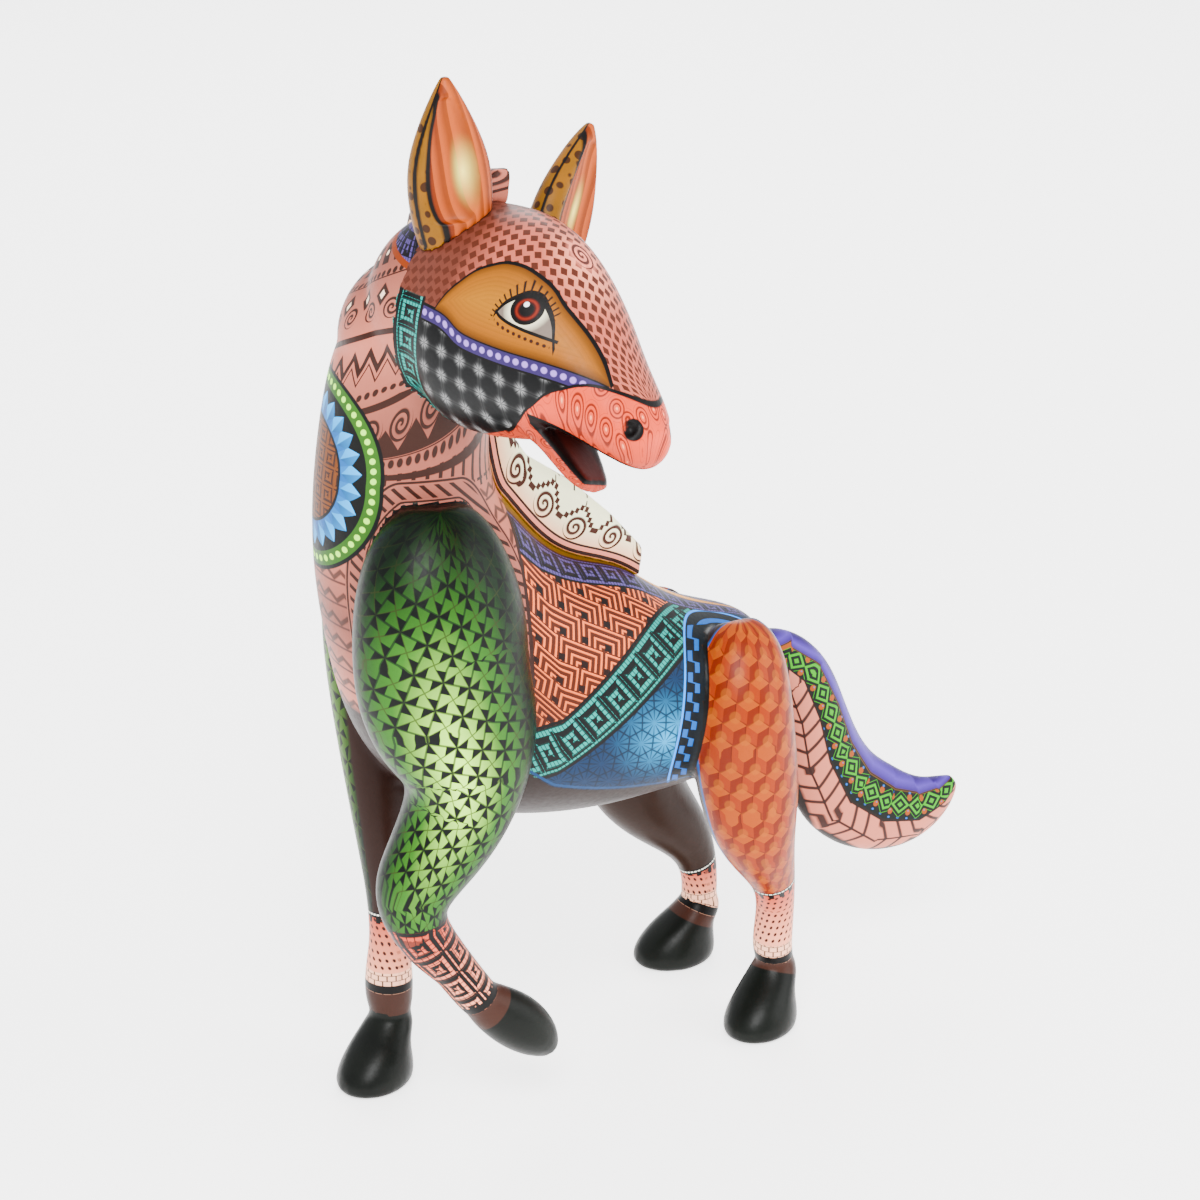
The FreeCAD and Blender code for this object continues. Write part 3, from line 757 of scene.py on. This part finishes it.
def paint_body():
    x, _, z = place()
    neck, torso, _ = carried("limb", vector=True)
    edge = carried("edge")
    u = neck * 21.5
    # Neck and chest.
    comb_near = below(edge, 6.8, 0.2) * below(z, 175, 1)
    colour = motif_rows(u, z - 158 - u * 0.42 * clamp((z - 172) * 0.04))
    radial = either(line(fract((u + z) * 0.26), 0.5, 0.36, 0.06) * between(edge, 2.0, 5.4, 0.15),
                    either(line(edge, 6.2, 0.6), line(edge, 1.3, 0.6)))
    colour = mix(colour, rgb("CB9484"), comb_near)
    colour = mix(colour, BROWN, radial * comb_near)
    # Crest: purple and black tiles with an orange edge.
    crest = above(z + size(u) * 0.22, 233.5, 0.3)
    tiles = key_band(u, fract(z * 0.14) * 2 - 1, 6.4, rgb("1B1622"), rgb("8D7CB8"))
    colour = mix(colour, tiles, crest)
    colour = mix(colour, ORANGE, line(z + size(u) * 0.22, 233.0, 1.4))
    # Medallion on the chest.
    mu, mv = u + 6.5, z - 172.5
    reach = hypot(mu, mv)
    turn = angle(mv, mu)
    disc = below(reach, 26.4, 0.2)
    _, pa = cell(mu + 2.4, 4.8)
    _, pb = cell(mv + 2.4, 4.8)
    maze = mix(rgb("D9743A"), rgb("5B2415"), fret(pa, pb, 2.3, 1.5))
    medal = mix(rgb("0B0E0E"), rgb("5E9E3C"), between(reach, 21.8, 25.4, 0.15))
    bead = fract(turn * (56 / math.tau)) - 0.5
    medal = mix(medal, rgb("D7F0A0"), below(hypot(bead * 2.6, reach - 23.6), 0.8, 0.2))
    petal = fract(turn * (24 / math.tau)) - 0.5
    tip = 20.6 - size(petal) * 5.5
    petals = between(reach, 13.6, tip, 0.15)
    facet = mix(rgb("1B78B4"), rgb("8FD6F0"), clamp(above(petal, 0, 0.05) * 0.55 + (reach - 14) * 0.06))
    medal = mix(medal, facet, petals)
    inner = fract(turn * (24 / math.tau) + 0.5) - 0.5
    small_tip = 17.0 - size(inner) * 5.0
    medal = mix(medal, rgb("3FA0D4"), between(reach, 13.6, small_tip, 0.15) * 0.8)
    medal = mix(medal, maze, below(reach, 13.8, 0.15))
    medal = mix(medal, BLACK, line(reach, 13.8, 0.8))
    colour = mix(colour, medal, disc)
    # Where the torso's painting takes over.
    seam = x + 47.5 + (158 - z) * 0.06
    flank = above(seam, 0, 0.3) * below(z + seam * 0.55, 160.5, 0.4)
    v = torso * 32
    # Flank: cream and orange chevrons with dark squares.
    ca, pa = cell(x + v * 0.25, 6.6)
    cb, pb = cell(x * 0.25 - v, 6.6)
    flip = odd(ca + cb)
    pa2 = pa * (flip * 2 - 1)
    corner = largest(pa2, pb)
    chevron = below(fract(corner * 0.62 + 0.2), 0.66, 0.2)
    weave = mix(rgb("F2B488"), rgb("B8421E"), chevron)
    weave = mix(weave, rgb("2A110D"), below(largest(size(pa + 2.2), size(pb + 2.2)), 0.95, 0.15))
    # The chevrons darken down the lower flank towards the belly: painted shade.
    weave = mix(weave, rgb("7A2A14"), above(v, 46, 30) * 0.5)
    torso_paint = weave
    # Blue star panel.
    ha, hb = hexagon(x, v, 7.4)
    spoke = angle(hb, ha) * (6 / math.tau)
    star = either(line(fract(spoke + 0.5), 0.5, 0.16, 0.1), line(fract(spoke), 0.5, 0.10, 0.1))
    hexed = largest(size(ha), size(ha * 0.5 + hb * 0.866))
    hexed = largest(hexed, size(ha * 0.5 - hb * 0.866))
    star = either(star * above(hypot(ha, hb), 0.8, 0.4), above(hexed, 3.45, 0.2))
    light = below(hypot(x + 10, (v - 56) * 1.1), 8, 26)
    blue = mix(rgb("124A7E"), rgb("9ADCF6"), light * light)
    blue = mix(blue, rgb("0C2848"), star * 0.9)
    band = (21 - (x + 0.5) * 0.944 - v) * 0.727
    torso_paint = mix(torso_paint, blue, below(band, -5, 0.2))
    # Teal tile band across the flank.
    teal = key_band(x * 0.73 - v * 0.69, band * (1 / 5.2), 9.0, NIGHT, TEAL)
    torso_paint = mix(torso_paint, teal, below(size(band), 5.6, 0.15))
    torso_paint = mix(torso_paint, BLACK, line(size(band), 5.9, 0.7))
    # Blue meander beside the thighs.
    beside = below(edge, 7.6, 0.15) * above(x, -8, 0.5)
    steps = fract((z + x * 0.3) * 0.2)
    wave = below(size(edge - 4.2 - (above(steps, 0.5, 0.08) * 2.4 - 1.2)), 0.8, 0.15)
    border = mix(rgb("12202C"), rgb("3F9BD6"), wave)
    border = mix(border, rgb("7CC6EE"), line(edge, 7.2, 0.7))
    # Purple tiles and the golden stripe along the back.
    spine = size(torso * 34)
    wide = curve(x, [(-56, 17), (-30, 15.5), (0, 12), (20, 9.5), (34, 8)])
    gold = mix(rgb("E2A23C"), rgb("F7D488"), below(spine, 3, 4))
    gold = mix(gold, rgb("9A5A24"), above(spine, wide - 10, 2) * 0.5)
    back_tiles = key_band(x * 1.1, (spine - wide + 3.6) * (1 / 3.9), 7.4, rgb("1C1824"), rgb("9385BE"))
    torso_paint = mix(torso_paint, border, beside)
    torso_paint = mix(torso_paint, back_tiles, below(spine, wide + 0.4, 0.15))
    torso_paint = mix(torso_paint, BLACK, line(spine, wide + 0.6, 0.6))
    torso_paint = mix(torso_paint, BROWN, line(spine, wide - 7.8, 0.8))
    torso_paint = mix(torso_paint, gold, below(spine, wide - 8.2, 0.15))
    # Belly.
    belly_line = 76 - size(x + 8) * 0.1
    torso_paint = mix(torso_paint, rgb("40261F"), above(v, belly_line, 0.6))
    torso_paint = mix(torso_paint, rgb("2E67A0"), line(v, belly_line - 0.8, 0.9) * below(x, 22, 1))
    colour = mix(colour, torso_paint, flank)
    colour = mix(colour, rgb("4A2E26"), below(z + seam * 0.15, 104, 3) * below(seam, 0, 0.3))
    colour = mix(colour, BROWN, line(seam, 0, 1.2) * below(z, 158, 1))
    return colour, 0.42


def hoof_and_cuffs(colour, length, around, cuff, ring, hoof, ground, brick):
    """The bottom of a leg: cuff, dark ring, brown pastern and a black hoof."""
    u = around * 6.5
    speck = dots(u + length * 0.37, length, 2.3, 2.1, 0.52)
    down = clamp((length - cuff) * (1 / (ring - cuff)))
    cuff_paint = mix(mix(rgb("E4745A"), rgb("F6D2C2"), down), BROWN, speck)
    if brick:
        pitch = 8.6
        _, a = cell(u, pitch)
        _, b = cell(length - cuff, pitch)
        hook = fret(a, b, pitch * 0.47, pitch * 0.27)
        light = mix(rgb("E87C60"), rgb("F6CDBC"), down)
        joints = either(line(fract(u * 0.62), 0.5, 0.14, 0.08), line(fract(length * 0.62), 0.5, 0.14, 0.08))
        cuff_paint = mix(BLACK, light, hook)
        cuff_paint = mix(cuff_paint, BLACK, joints)
    else:
        battlement = below(length, cuff + 1.6 + above(fract(u * 0.3), 0.5, 0.1) * 1.5, 0.15)
        cuff_paint = mix(cuff_paint, BLACK, battlement)
        dashes = line(length, cuff + 0.7, 0.4) * above(fract(u * 0.8), 0.3, 0.1)
        cuff_paint = mix(cuff_paint, rgb("FBEFE8"), dashes)
        lower = above(length, ring - 4.2, 0.15)
        row, _ = cell(length, 1.5)
        wall = either(line(fract(length * (1 / 1.5)), 0.0, 0.24, 0.1),
                      line(fract(u * 0.36 + odd(row) * 0.5), 0.5, 0.16, 0.08))
        cuff_paint = mix(cuff_paint, mix(rgb("F5D9CC"), BLACK, wall), lower)
    colour = mix(colour, cuff_paint, above(length, cuff, 0.2))
    colour = mix(colour, BLACK, between(length, ring - 0.6, ring + 1.8, 0.2))
    colour = mix(colour, rgb("6B4032"), above(length, ring + 1.8, 0.2))
    hoof_paint = mix(ground, rgb("3A4238"), noise(90, 2) * 0.5)
    return mix(colour, hoof_paint, above(length, hoof, 0.3))


def sign(a):
    return math_node("SIGN", a)


def pinwheels(a, b, half, share):
    """Small triangles turning about each corner of squares whose middle is at a, b = 0."""
    ca = a - half * sign(a)
    cb = b - half * sign(b)
    turn = angle(cb, ca) * (4 / math.tau)
    return above(fract(turn), 0.5, 0.04) * below(largest(size(ca), size(cb)), half * share, 0.15)


def paint_front_left():
    around, length, outward = carried("limb", vector=True)
    edge = carried("edge")
    u, v = turned(around * 19, length, 24)
    pitch = 7.4
    _, a = cell(u, pitch)
    _, b = cell(v, pitch)
    light = below(hypot((around + 0.45) * 16, (length - 64) * 0.28), 12, 20)
    green = mix(rgb("1F4F1F"), rgb("62A844"), clamp(light * 2))
    shine = clamp(light * 2 - 1)
    green = mix(green, rgb("DCF4B0"), shine * shine * 0.6 + shine * 0.4)
    half = pitch / 2
    diagonal = either(line(a - b, 0, 0.5), line(a + b, 0, 0.5))
    colour = mix(green, rgb("5C6B2C"), diagonal * 0.8)
    frame_line = either(above(size(a), half - 0.3, 0.15), above(size(b), half - 0.3, 0.15))
    colour = mix(colour, rgb("20381E"), frame_line * 0.8)
    colour = mix(colour, rgb("0C140D"), pinwheels(a, b, half, 0.76))
    shadow = largest(clamp(1.0 - light * 3.0), below(length, 18, 22) * 1.5)
    colour = mix(colour, rgb("0A160E"), shadow * 0.5)
    # Darker green along the join with the body: painted shade in the crease between leg and body.
    colour = mix(colour, rgb("22402A"), below(edge, 3.2, 2.5))
    colour = mix(colour, BLACK, below(edge, 0.8, 0.4))
    inner = below(outward, -0.66, 0.2)
    colour = mix(colour, DARK_BROWN, inner)
    colour = hoof_and_cuffs(colour, length, around, 109.5, 139.5, 146.5, rgb("10130F"), True)
    return colour, 0.4


def paint_front_right():
    around, length, outward = carried("limb", vector=True)
    edge = carried("edge")
    u, v = turned(around * 15, length, 24)
    pitch = 7.4
    _, a = cell(u, pitch)
    _, b = cell(v, pitch)
    light = below(hypot((around + 0.6) * 15, (length - 55) * 0.3), 12, 20)
    green = mix(rgb("1C3A24"), rgb("A6D060"), light)
    colour = mix(green, rgb("0C140D"), pinwheels(a, b, pitch / 2, 0.8))
    colour = mix(colour, rgb("5C6B2C"), either(line(a - b, 0, 0.5), line(a + b, 0, 0.5)) * 0.8)
    colour = mix(colour, BLACK, below(edge, 0.8, 0.4))
    inner = either(above(size(around + 0.25), 1.62, 0.1), below(outward, -0.6, 0.1))
    colour = mix(colour, rgb("4E2C22"), inner)
    colour = hoof_and_cuffs(colour, length, around, 116.5, 137.0, 145.5, rgb("0C0E0C"), False)
    return colour, 0.34


def cubes(around, length, pitch, light):
    u, v = turned(around, length, 8)
    ha, hb = hexagon(u, v, pitch)
    turn = fract(angle(ha, hb) * (1 / math.tau) + 1 / 6)
    face = mix(rgb("F58C40"), rgb("F17422"), above(turn, 1 / 3, 0.01))
    face = mix(face, rgb("E05810"), above(turn, 2 / 3, 0.01))
    spoke = line(fract(turn * 3), 0.0, 0.10, 0.05)
    colour = mix(face, rgb("B23C10"), spoke * 0.6)
    inner = below(hypot(ha, hb), pitch * 0.24, 0.4)
    colour = mix(colour, rgb("F6A463"), inner * 0.35)
    return mix(rgb("A83C10"), colour, clamp(light + 0.35))


def paint_rear(cuff, ring, hoof, orange):
    outer = 1.45 if orange else 1.05

    def paint():
        around, length, outward = carried("limb", vector=True)
        edge = carried("edge")
        light = below(size(around + 0.3) * 15, 20, 16)
        colour = cubes(around * 14, length, 6.4, light)
        rim = line(size(around + 0.15), outer - 0.03, 0.10, 0.03)
        colour = mix(colour, rgb("3F8CC8"), rim)
        inner = either(above(size(around + 0.15), outer, 0.08), below(outward, -0.3, 0.1))
        colour = mix(colour, rgb("4E2C1C"), inner)
        colour = mix(colour, BLACK, below(edge, 0.9, 0.3))
        return hoof_and_cuffs(colour, length, around, cuff, ring, hoof, rgb("0C0E0C"), False), 0.34
    return paint


def paint_mane():
    run, height, across = carried("ribbon", vector=True)
    cream = mix(rgb("FBF0E2"), rgb("F0CDB6"), below(height, 5, 8))
    _, a = cell(run, 11.5)
    colour = mix(cream, rgb("7A3F2E"), spiral(a, height - 6.8, 3.4, 1.7))
    _, b = cell(run + 5.75, 11.5)
    steps = floor(size(b) * 0.9) * 1.15
    colour = mix(colour, rgb("7A3F2E"), below(size(height - 7.4 - steps), 0.7, 0.15))
    _, c = cell(run, 5.2)
    stem = line(c, 0, 0.6) * between(height, 14.4, 16.4, 0.15)
    tee = either(stem, line(height, 16.2, 0.6) * below(size(c), 1.2, 0.1))
    colour = mix(colour, rgb("5F2F24"), tee)
    colour = mix(colour, rgb("5A2C22"), line(height, 1.2, 1.0))
    colour = mix(colour, rgb("E9B9AC"), line(height, 2.2, 0.9))
    colour = mix(colour, rgb("5A2C22"), line(height, 3.0, 0.6))
    colour = mix(colour, GOLD, below(height, 0.6, 0.2))
    ridge = below(size(across), 2.2, 0.3)
    colour = mix(colour, rgb("C98F7C"), ridge * above(height, 14, 0.6) * 0.6)
    # The forelock between the ears is pink with a brown spiral.
    lock = mix(rgb("D9A08E"), rgb("6E3426"), spiral(across + 3.0, height - 6.5, 4.4, 2.0))
    colour = mix(colour, lock, above(run, 121, 0.6))
    return colour, 0.45


def paint_ear():
    span, across, front = carried("blade", vector=True)
    back = mix(rgb("EFA030"), rgb("C07A24"), noise(120, 2))
    spots = current["tree"].nodes.new("ShaderNodeTexVoronoi")
    spots.inputs["Scale"].default_value = 290
    spots.inputs["Randomness"].default_value = 0.45
    texture = current["tree"].nodes.new("ShaderNodeTexCoord")
    current["tree"].links.new(texture.outputs["Object"], spots.inputs["Vector"])
    spot = Value(spots.outputs["Distance"])
    back = mix(back, rgb("6A3A18"), below(spot, 0.36, 0.06))
    width = curve(span, [(0, 8.6), (10, 9.8), (20, 9.0), (30, 6.0), (38, 2.6), (44, 0.6)])
    share = size(across) / largest(width, 0.5)
    inner = mix(rgb("EA7A28"), rgb("D04614"), above(share, 0.5, 0.5))
    # The cream streak down the middle of the inner face is partly pale paint and partly a painted
    # highlight.
    streak = below(hypot(across + 0.2, (span - 15) * 0.2), 1.0, 2.2)
    inner = mix(inner, rgb("FDEEC9"), streak * streak)
    inner = mix(inner, rgb("F6B98A"), below(fract(across * 0.45 + span * 0.02), 0.45, 0.5) * 0.22)
    inner = mix(inner, rgb("B8401A"), above(share, 0.9, 0.12))
    turn = across / largest(width, 0.5)
    colour = mix(back, inner, above(front, 0.0, 0.12) * above(turn, -0.62, 0.05))
    colour = mix(colour, rgb("1C1411"), line(turn, -0.64, 0.12, 0.05) * above(front, 0.0, 0.1))
    colour = mix(colour, rgb("1C1411"), line(front, -0.04, 0.2, 0.08))
    return colour, 0.4


def paint_tail():
    run, offset, half = carried("plume", vector=True)
    share = offset / half
    violet = mix(rgb("5A3AA0"), rgb("A088D8"), line(share, 0.80, 0.12, 0.3))
    barbs = line(fract(run * 0.2 + size(share + 0.62) * 1.5), 0.5, 0.22, 0.08)
    feather = mix(rgb("E0AE9C"), rgb("6B3A30"), barbs)
    feather = mix(feather, rgb("5A2C22"), line(share, -0.62, 0.05, 0.02))
    _, a = cell(run, 6.4)
    middle = (share - 0.27) * half
    lozenge = size(a) * 0.62 + size(middle) * 0.8
    nested = below(fract(lozenge * 0.72), 0.45, 0.15) * below(lozenge, 2.9, 0.2)
    green = mix(rgb("16201A"), rgb("8FD04C"), nested)
    _, b = cell(run + 3.2, 6.4)
    flower = below(hypot(b, size(middle) - 2.0), 0.85, 0.2)
    green = mix(green, rgb("F08A3C"), flower)
    beads = dots(run + 1.6, middle * 1.4 + 10, 3.2, 3.2, 0.4) * above(lozenge, 3.1, 0.2)
    green = mix(green, rgb("4BA3DC"), beads)
    colour = mix(feather, green, above(share, -0.12, 0.03))
    colour = mix(colour, rgb("3A1E16"), line(share, -0.12, 0.06, 0.02))
    colour = mix(colour, rgb("D98A3A"), line(share, 0.60, 0.05, 0.02))
    colour = mix(colour, violet, above(share, 0.62, 0.03))
    colour = mix(colour, rgb("4A2D26"), line(share, 0.60, 0.03, 0.02))
    colour = mix(colour, rgb("3B241E"), below(share, -0.93, 0.06))
    return colour, 0.4


# ---------------------------------------------------------------- pieces

def ribbon_attributes(mesh):
    """Along the mane, height above the block under it, and place across it."""
    line_ = [(0, 22.1, 133), (-12, 22.1, 143), (-26, 22.1, 153), (-39, 22.4, 163), (-48, 24, 172),
             (-50, 27, 185), (-55, 29, 206), (-61, 23, 225), (-60, 12, 233), (-55, 1, 235)]
    points = coords(mesh)
    length, spot_, _ = along_line(points * 1000, line_)
    body, head = tree_of("body_block"), tree_of("head_block")
    gaps = [min(body.find_nearest(p)[3], head.find_nearest(p)[3]) for p in points.tolist()]
    height = np.array(gaps) * 1000
    store(mesh, "ribbon", np.stack([length, height, (points * 1000 - spot_)[:, 1]], 1))


def blade_attributes(mesh, foot, axis, facing):
    points = coords(mesh) * 1000 - np.array(foot)
    axis = np.array(axis)
    facing = np.array(facing) - axis * np.dot(facing, axis)
    facing /= np.linalg.norm(facing)
    sideways = np.cross(axis, facing)
    normals = normals_of(mesh)
    store(mesh, "blade", np.stack([points @ axis, points @ sideways, normals @ facing], 1))


def plume_attributes(mesh):
    line_ = [(31, 22, 98), (37.4, 22, 98.6), (44.4, 22, 92.5), (49.4, 22, 80.5), (52.9, 22, 67.5),
             (59.4, 22, 55), (69.9, 22, 47), (81.4, 22, 44), (90.4, 22, 46), (96, 22, 49.5)]
    half = [6.5, 6.9, 8.2, 9.6, 11.5, 13.0, 12.6, 10.0, 6.0, 2.5]
    points = coords(mesh) * 1000
    length, spot_, heading = along_line(points, line_)
    steps = np.linalg.norm(np.diff(np.array(line_, float), axis=0), axis=1)
    lengths = np.concatenate([[0], np.cumsum(steps)])
    up = np.stack([-heading[:, 2], np.zeros(len(points)), heading[:, 0]], 1)
    offset = ((points - spot_) * up).sum(1)
    store(mesh, "plume", np.stack([length, offset, np.interp(length, lengths, half)], 1))


def single(name, voxel, rounds, attributes):
    mesh = keep_biggest_shell(union_skin([name], voxel))
    points = coords(mesh)
    pairs = edges_of(mesh)
    set_coords(mesh, relax(points, pairs, rounds, np.ones(len(points))))
    attributes(mesh)
    mesh.polygons.foreach_set("use_smooth", [True] * len(mesh.polygons))
    obj = bpy.data.objects.new("painted_" + name, mesh)
    bpy.context.scene.collection.objects.link(obj)
    return obj


skin = keep_biggest_shell(union_skin(SKIN, BLOCK_VOXEL))
points = coords(skin)
pairs = edges_of(skin)
f, r, u = head_mm(points)
# The edges of the mouth stay crisp.
fine = (f > 12) & (u < -8) & (u > -34) & (np.abs(r) < 22)
weight = np.where(fine, 0.35, 1.0)
points = relax(points, pairs, 14, weight)
points[:, 2] = np.maximum(points[:, 2], 0.0)
set_coords(skin, points)
owner = skin_attributes(skin)
pieces = split_by_owner(skin, owner, SKIN)
bpy.data.meshes.remove(skin)

joint_of = {j["child"]: j for j in frame["record"]["behaviour"]["joints"]}
pieces["mane"] = single("mane", STRIP_VOXEL, 6, ribbon_attributes)
pieces["tail"] = single("tail", STRIP_VOXEL, 8, plume_attributes)
pieces["right_ear"] = single("right_ear", EAR_VOXEL, 6, lambda mesh: blade_attributes(
    mesh, (-67.7, -3.5, 237.2), joint_of["right_ear"]["axis"], FORWARD - 0.12 * RIGHT))
pieces["left_ear"] = single("left_ear", EAR_VOXEL, 6, lambda mesh: blade_attributes(
    mesh, (-41.3, 0.1, 223.4), joint_of["left_ear"]["axis"], FORWARD - 0.4 * RIGHT))

PAINTS = {
    "body_block": (paint_body, "trunk_paint"),
    "head_block": (paint_head, "head_paint"),
    "front_left_leg": (paint_front_left, "leg_paint"),
    "front_right_leg": (paint_front_right, "leg_paint"),
    "rear_left_leg": (paint_rear(75.5, 101.5, 107.8, True), "thigh_paint"),
    "rear_right_leg": (paint_rear(91, 104.5, 109.5, False), "thigh_paint"),
    "mane": (paint_mane, "mane_paint"),
    "right_ear": (paint_ear, "ear_paint"),
    "left_ear": (paint_ear, "ear_paint"),
    "tail": (paint_tail, "tail_paint"),
}
for name, (paint, slot) in PAINTS.items():
    obj = pieces[name]
    obj.data.materials.clear()
    obj.data.materials.append(painted("paint_" + name, paint))
    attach(obj, name if name in ("right_ear", "left_ear", "tail") else "figure")
    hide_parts(name)


def paint_bare():
    grain = noise(160, 3)
    return mix(rgb("D8BD90"), rgb("A9854F"), grain), 0.6


bare = painted("bare_wood", paint_bare, bump=0.4)
for name, node in frame["nodes"].items():
    if name not in PAINTS:
        node.data.materials.clear()
        node.data.materials.append(bare)

# ---------------------------------------------------------------- floor, light and camera

def flat_material(name, colour, roughness):
    material = bpy.data.materials.new(name)
    material.use_nodes = True
    shader = material.node_tree.nodes["Principled BSDF"]
    shader.inputs["Base Color"].default_value = colour
    shader.inputs["Roughness"].default_value = roughness
    shader.inputs["Specular IOR Level"].default_value = 0.2
    return material


floor_mesh = bpy.data.meshes.new("floor")
floor_mesh.from_pydata([(-6, -6, 0), (6, -6, 0), (6, 6, 0), (-6, 6, 0)], [], [(0, 1, 2, 3)])
floor_obj = bpy.data.objects.new("floor", floor_mesh)
bpy.context.scene.collection.objects.link(floor_obj)
paper = flat_material("floor_paper", (0.93, 0.925, 0.92, 1), 0.9)
paper.node_tree.nodes["Principled BSDF"].inputs["Emission Color"].default_value = (1, 0.99, 0.98, 1)
paper.node_tree.nodes["Principled BSDF"].inputs["Emission Strength"].default_value = 2.2
floor_mesh.materials.append(paper)

world = bpy.data.worlds.new("studio")
bpy.context.scene.world = world
world.use_nodes = True
world.node_tree.nodes["Background"].inputs["Color"].default_value = (0.95, 0.97, 1.0, 1)
world.node_tree.nodes["Background"].inputs["Strength"].default_value = 1.7


def area_light(name, spot_, target, width, power, colour=(1, 1, 1)):
    data = bpy.data.lights.new(name, "AREA")
    data.shape = "DISK"
    data.size = width
    data.energy = power
    data.color = colour
    obj = bpy.data.objects.new(name, data)
    bpy.context.scene.collection.objects.link(obj)
    obj.location = spot_
    obj.rotation_euler = (Vector(target) - Vector(spot_)).to_track_quat("-Z", "Y").to_euler()
    return obj


aim = (0.0, 0.0, 0.14)
area_light("key", (-0.5, -0.9, 1.1), aim, 0.8, 36)
area_light("fill", (0.9, -0.7, 0.6), aim, 1.0, 14)
area_light("back", (0.5, 1.0, 0.9), aim, 0.8, 14)

view = bpy.data.cameras.new("camera")
view.lens = 120
view.sensor_width = 36
camera = bpy.data.objects.new("camera", view)
bpy.context.scene.collection.objects.link(camera)
azimuth, elevation, distance = math.radians(-28), math.radians(22), 1.0
target = Vector((-0.02762, -0.00246, 0.135))
level = math.cos(elevation)
back = Vector((math.sin(azimuth) * level, -math.cos(azimuth) * level, math.sin(elevation)))
camera.location = target + back * distance
camera.rotation_euler = back.to_track_quat("Z", "Y").to_euler()
bpy.context.scene.camera = camera
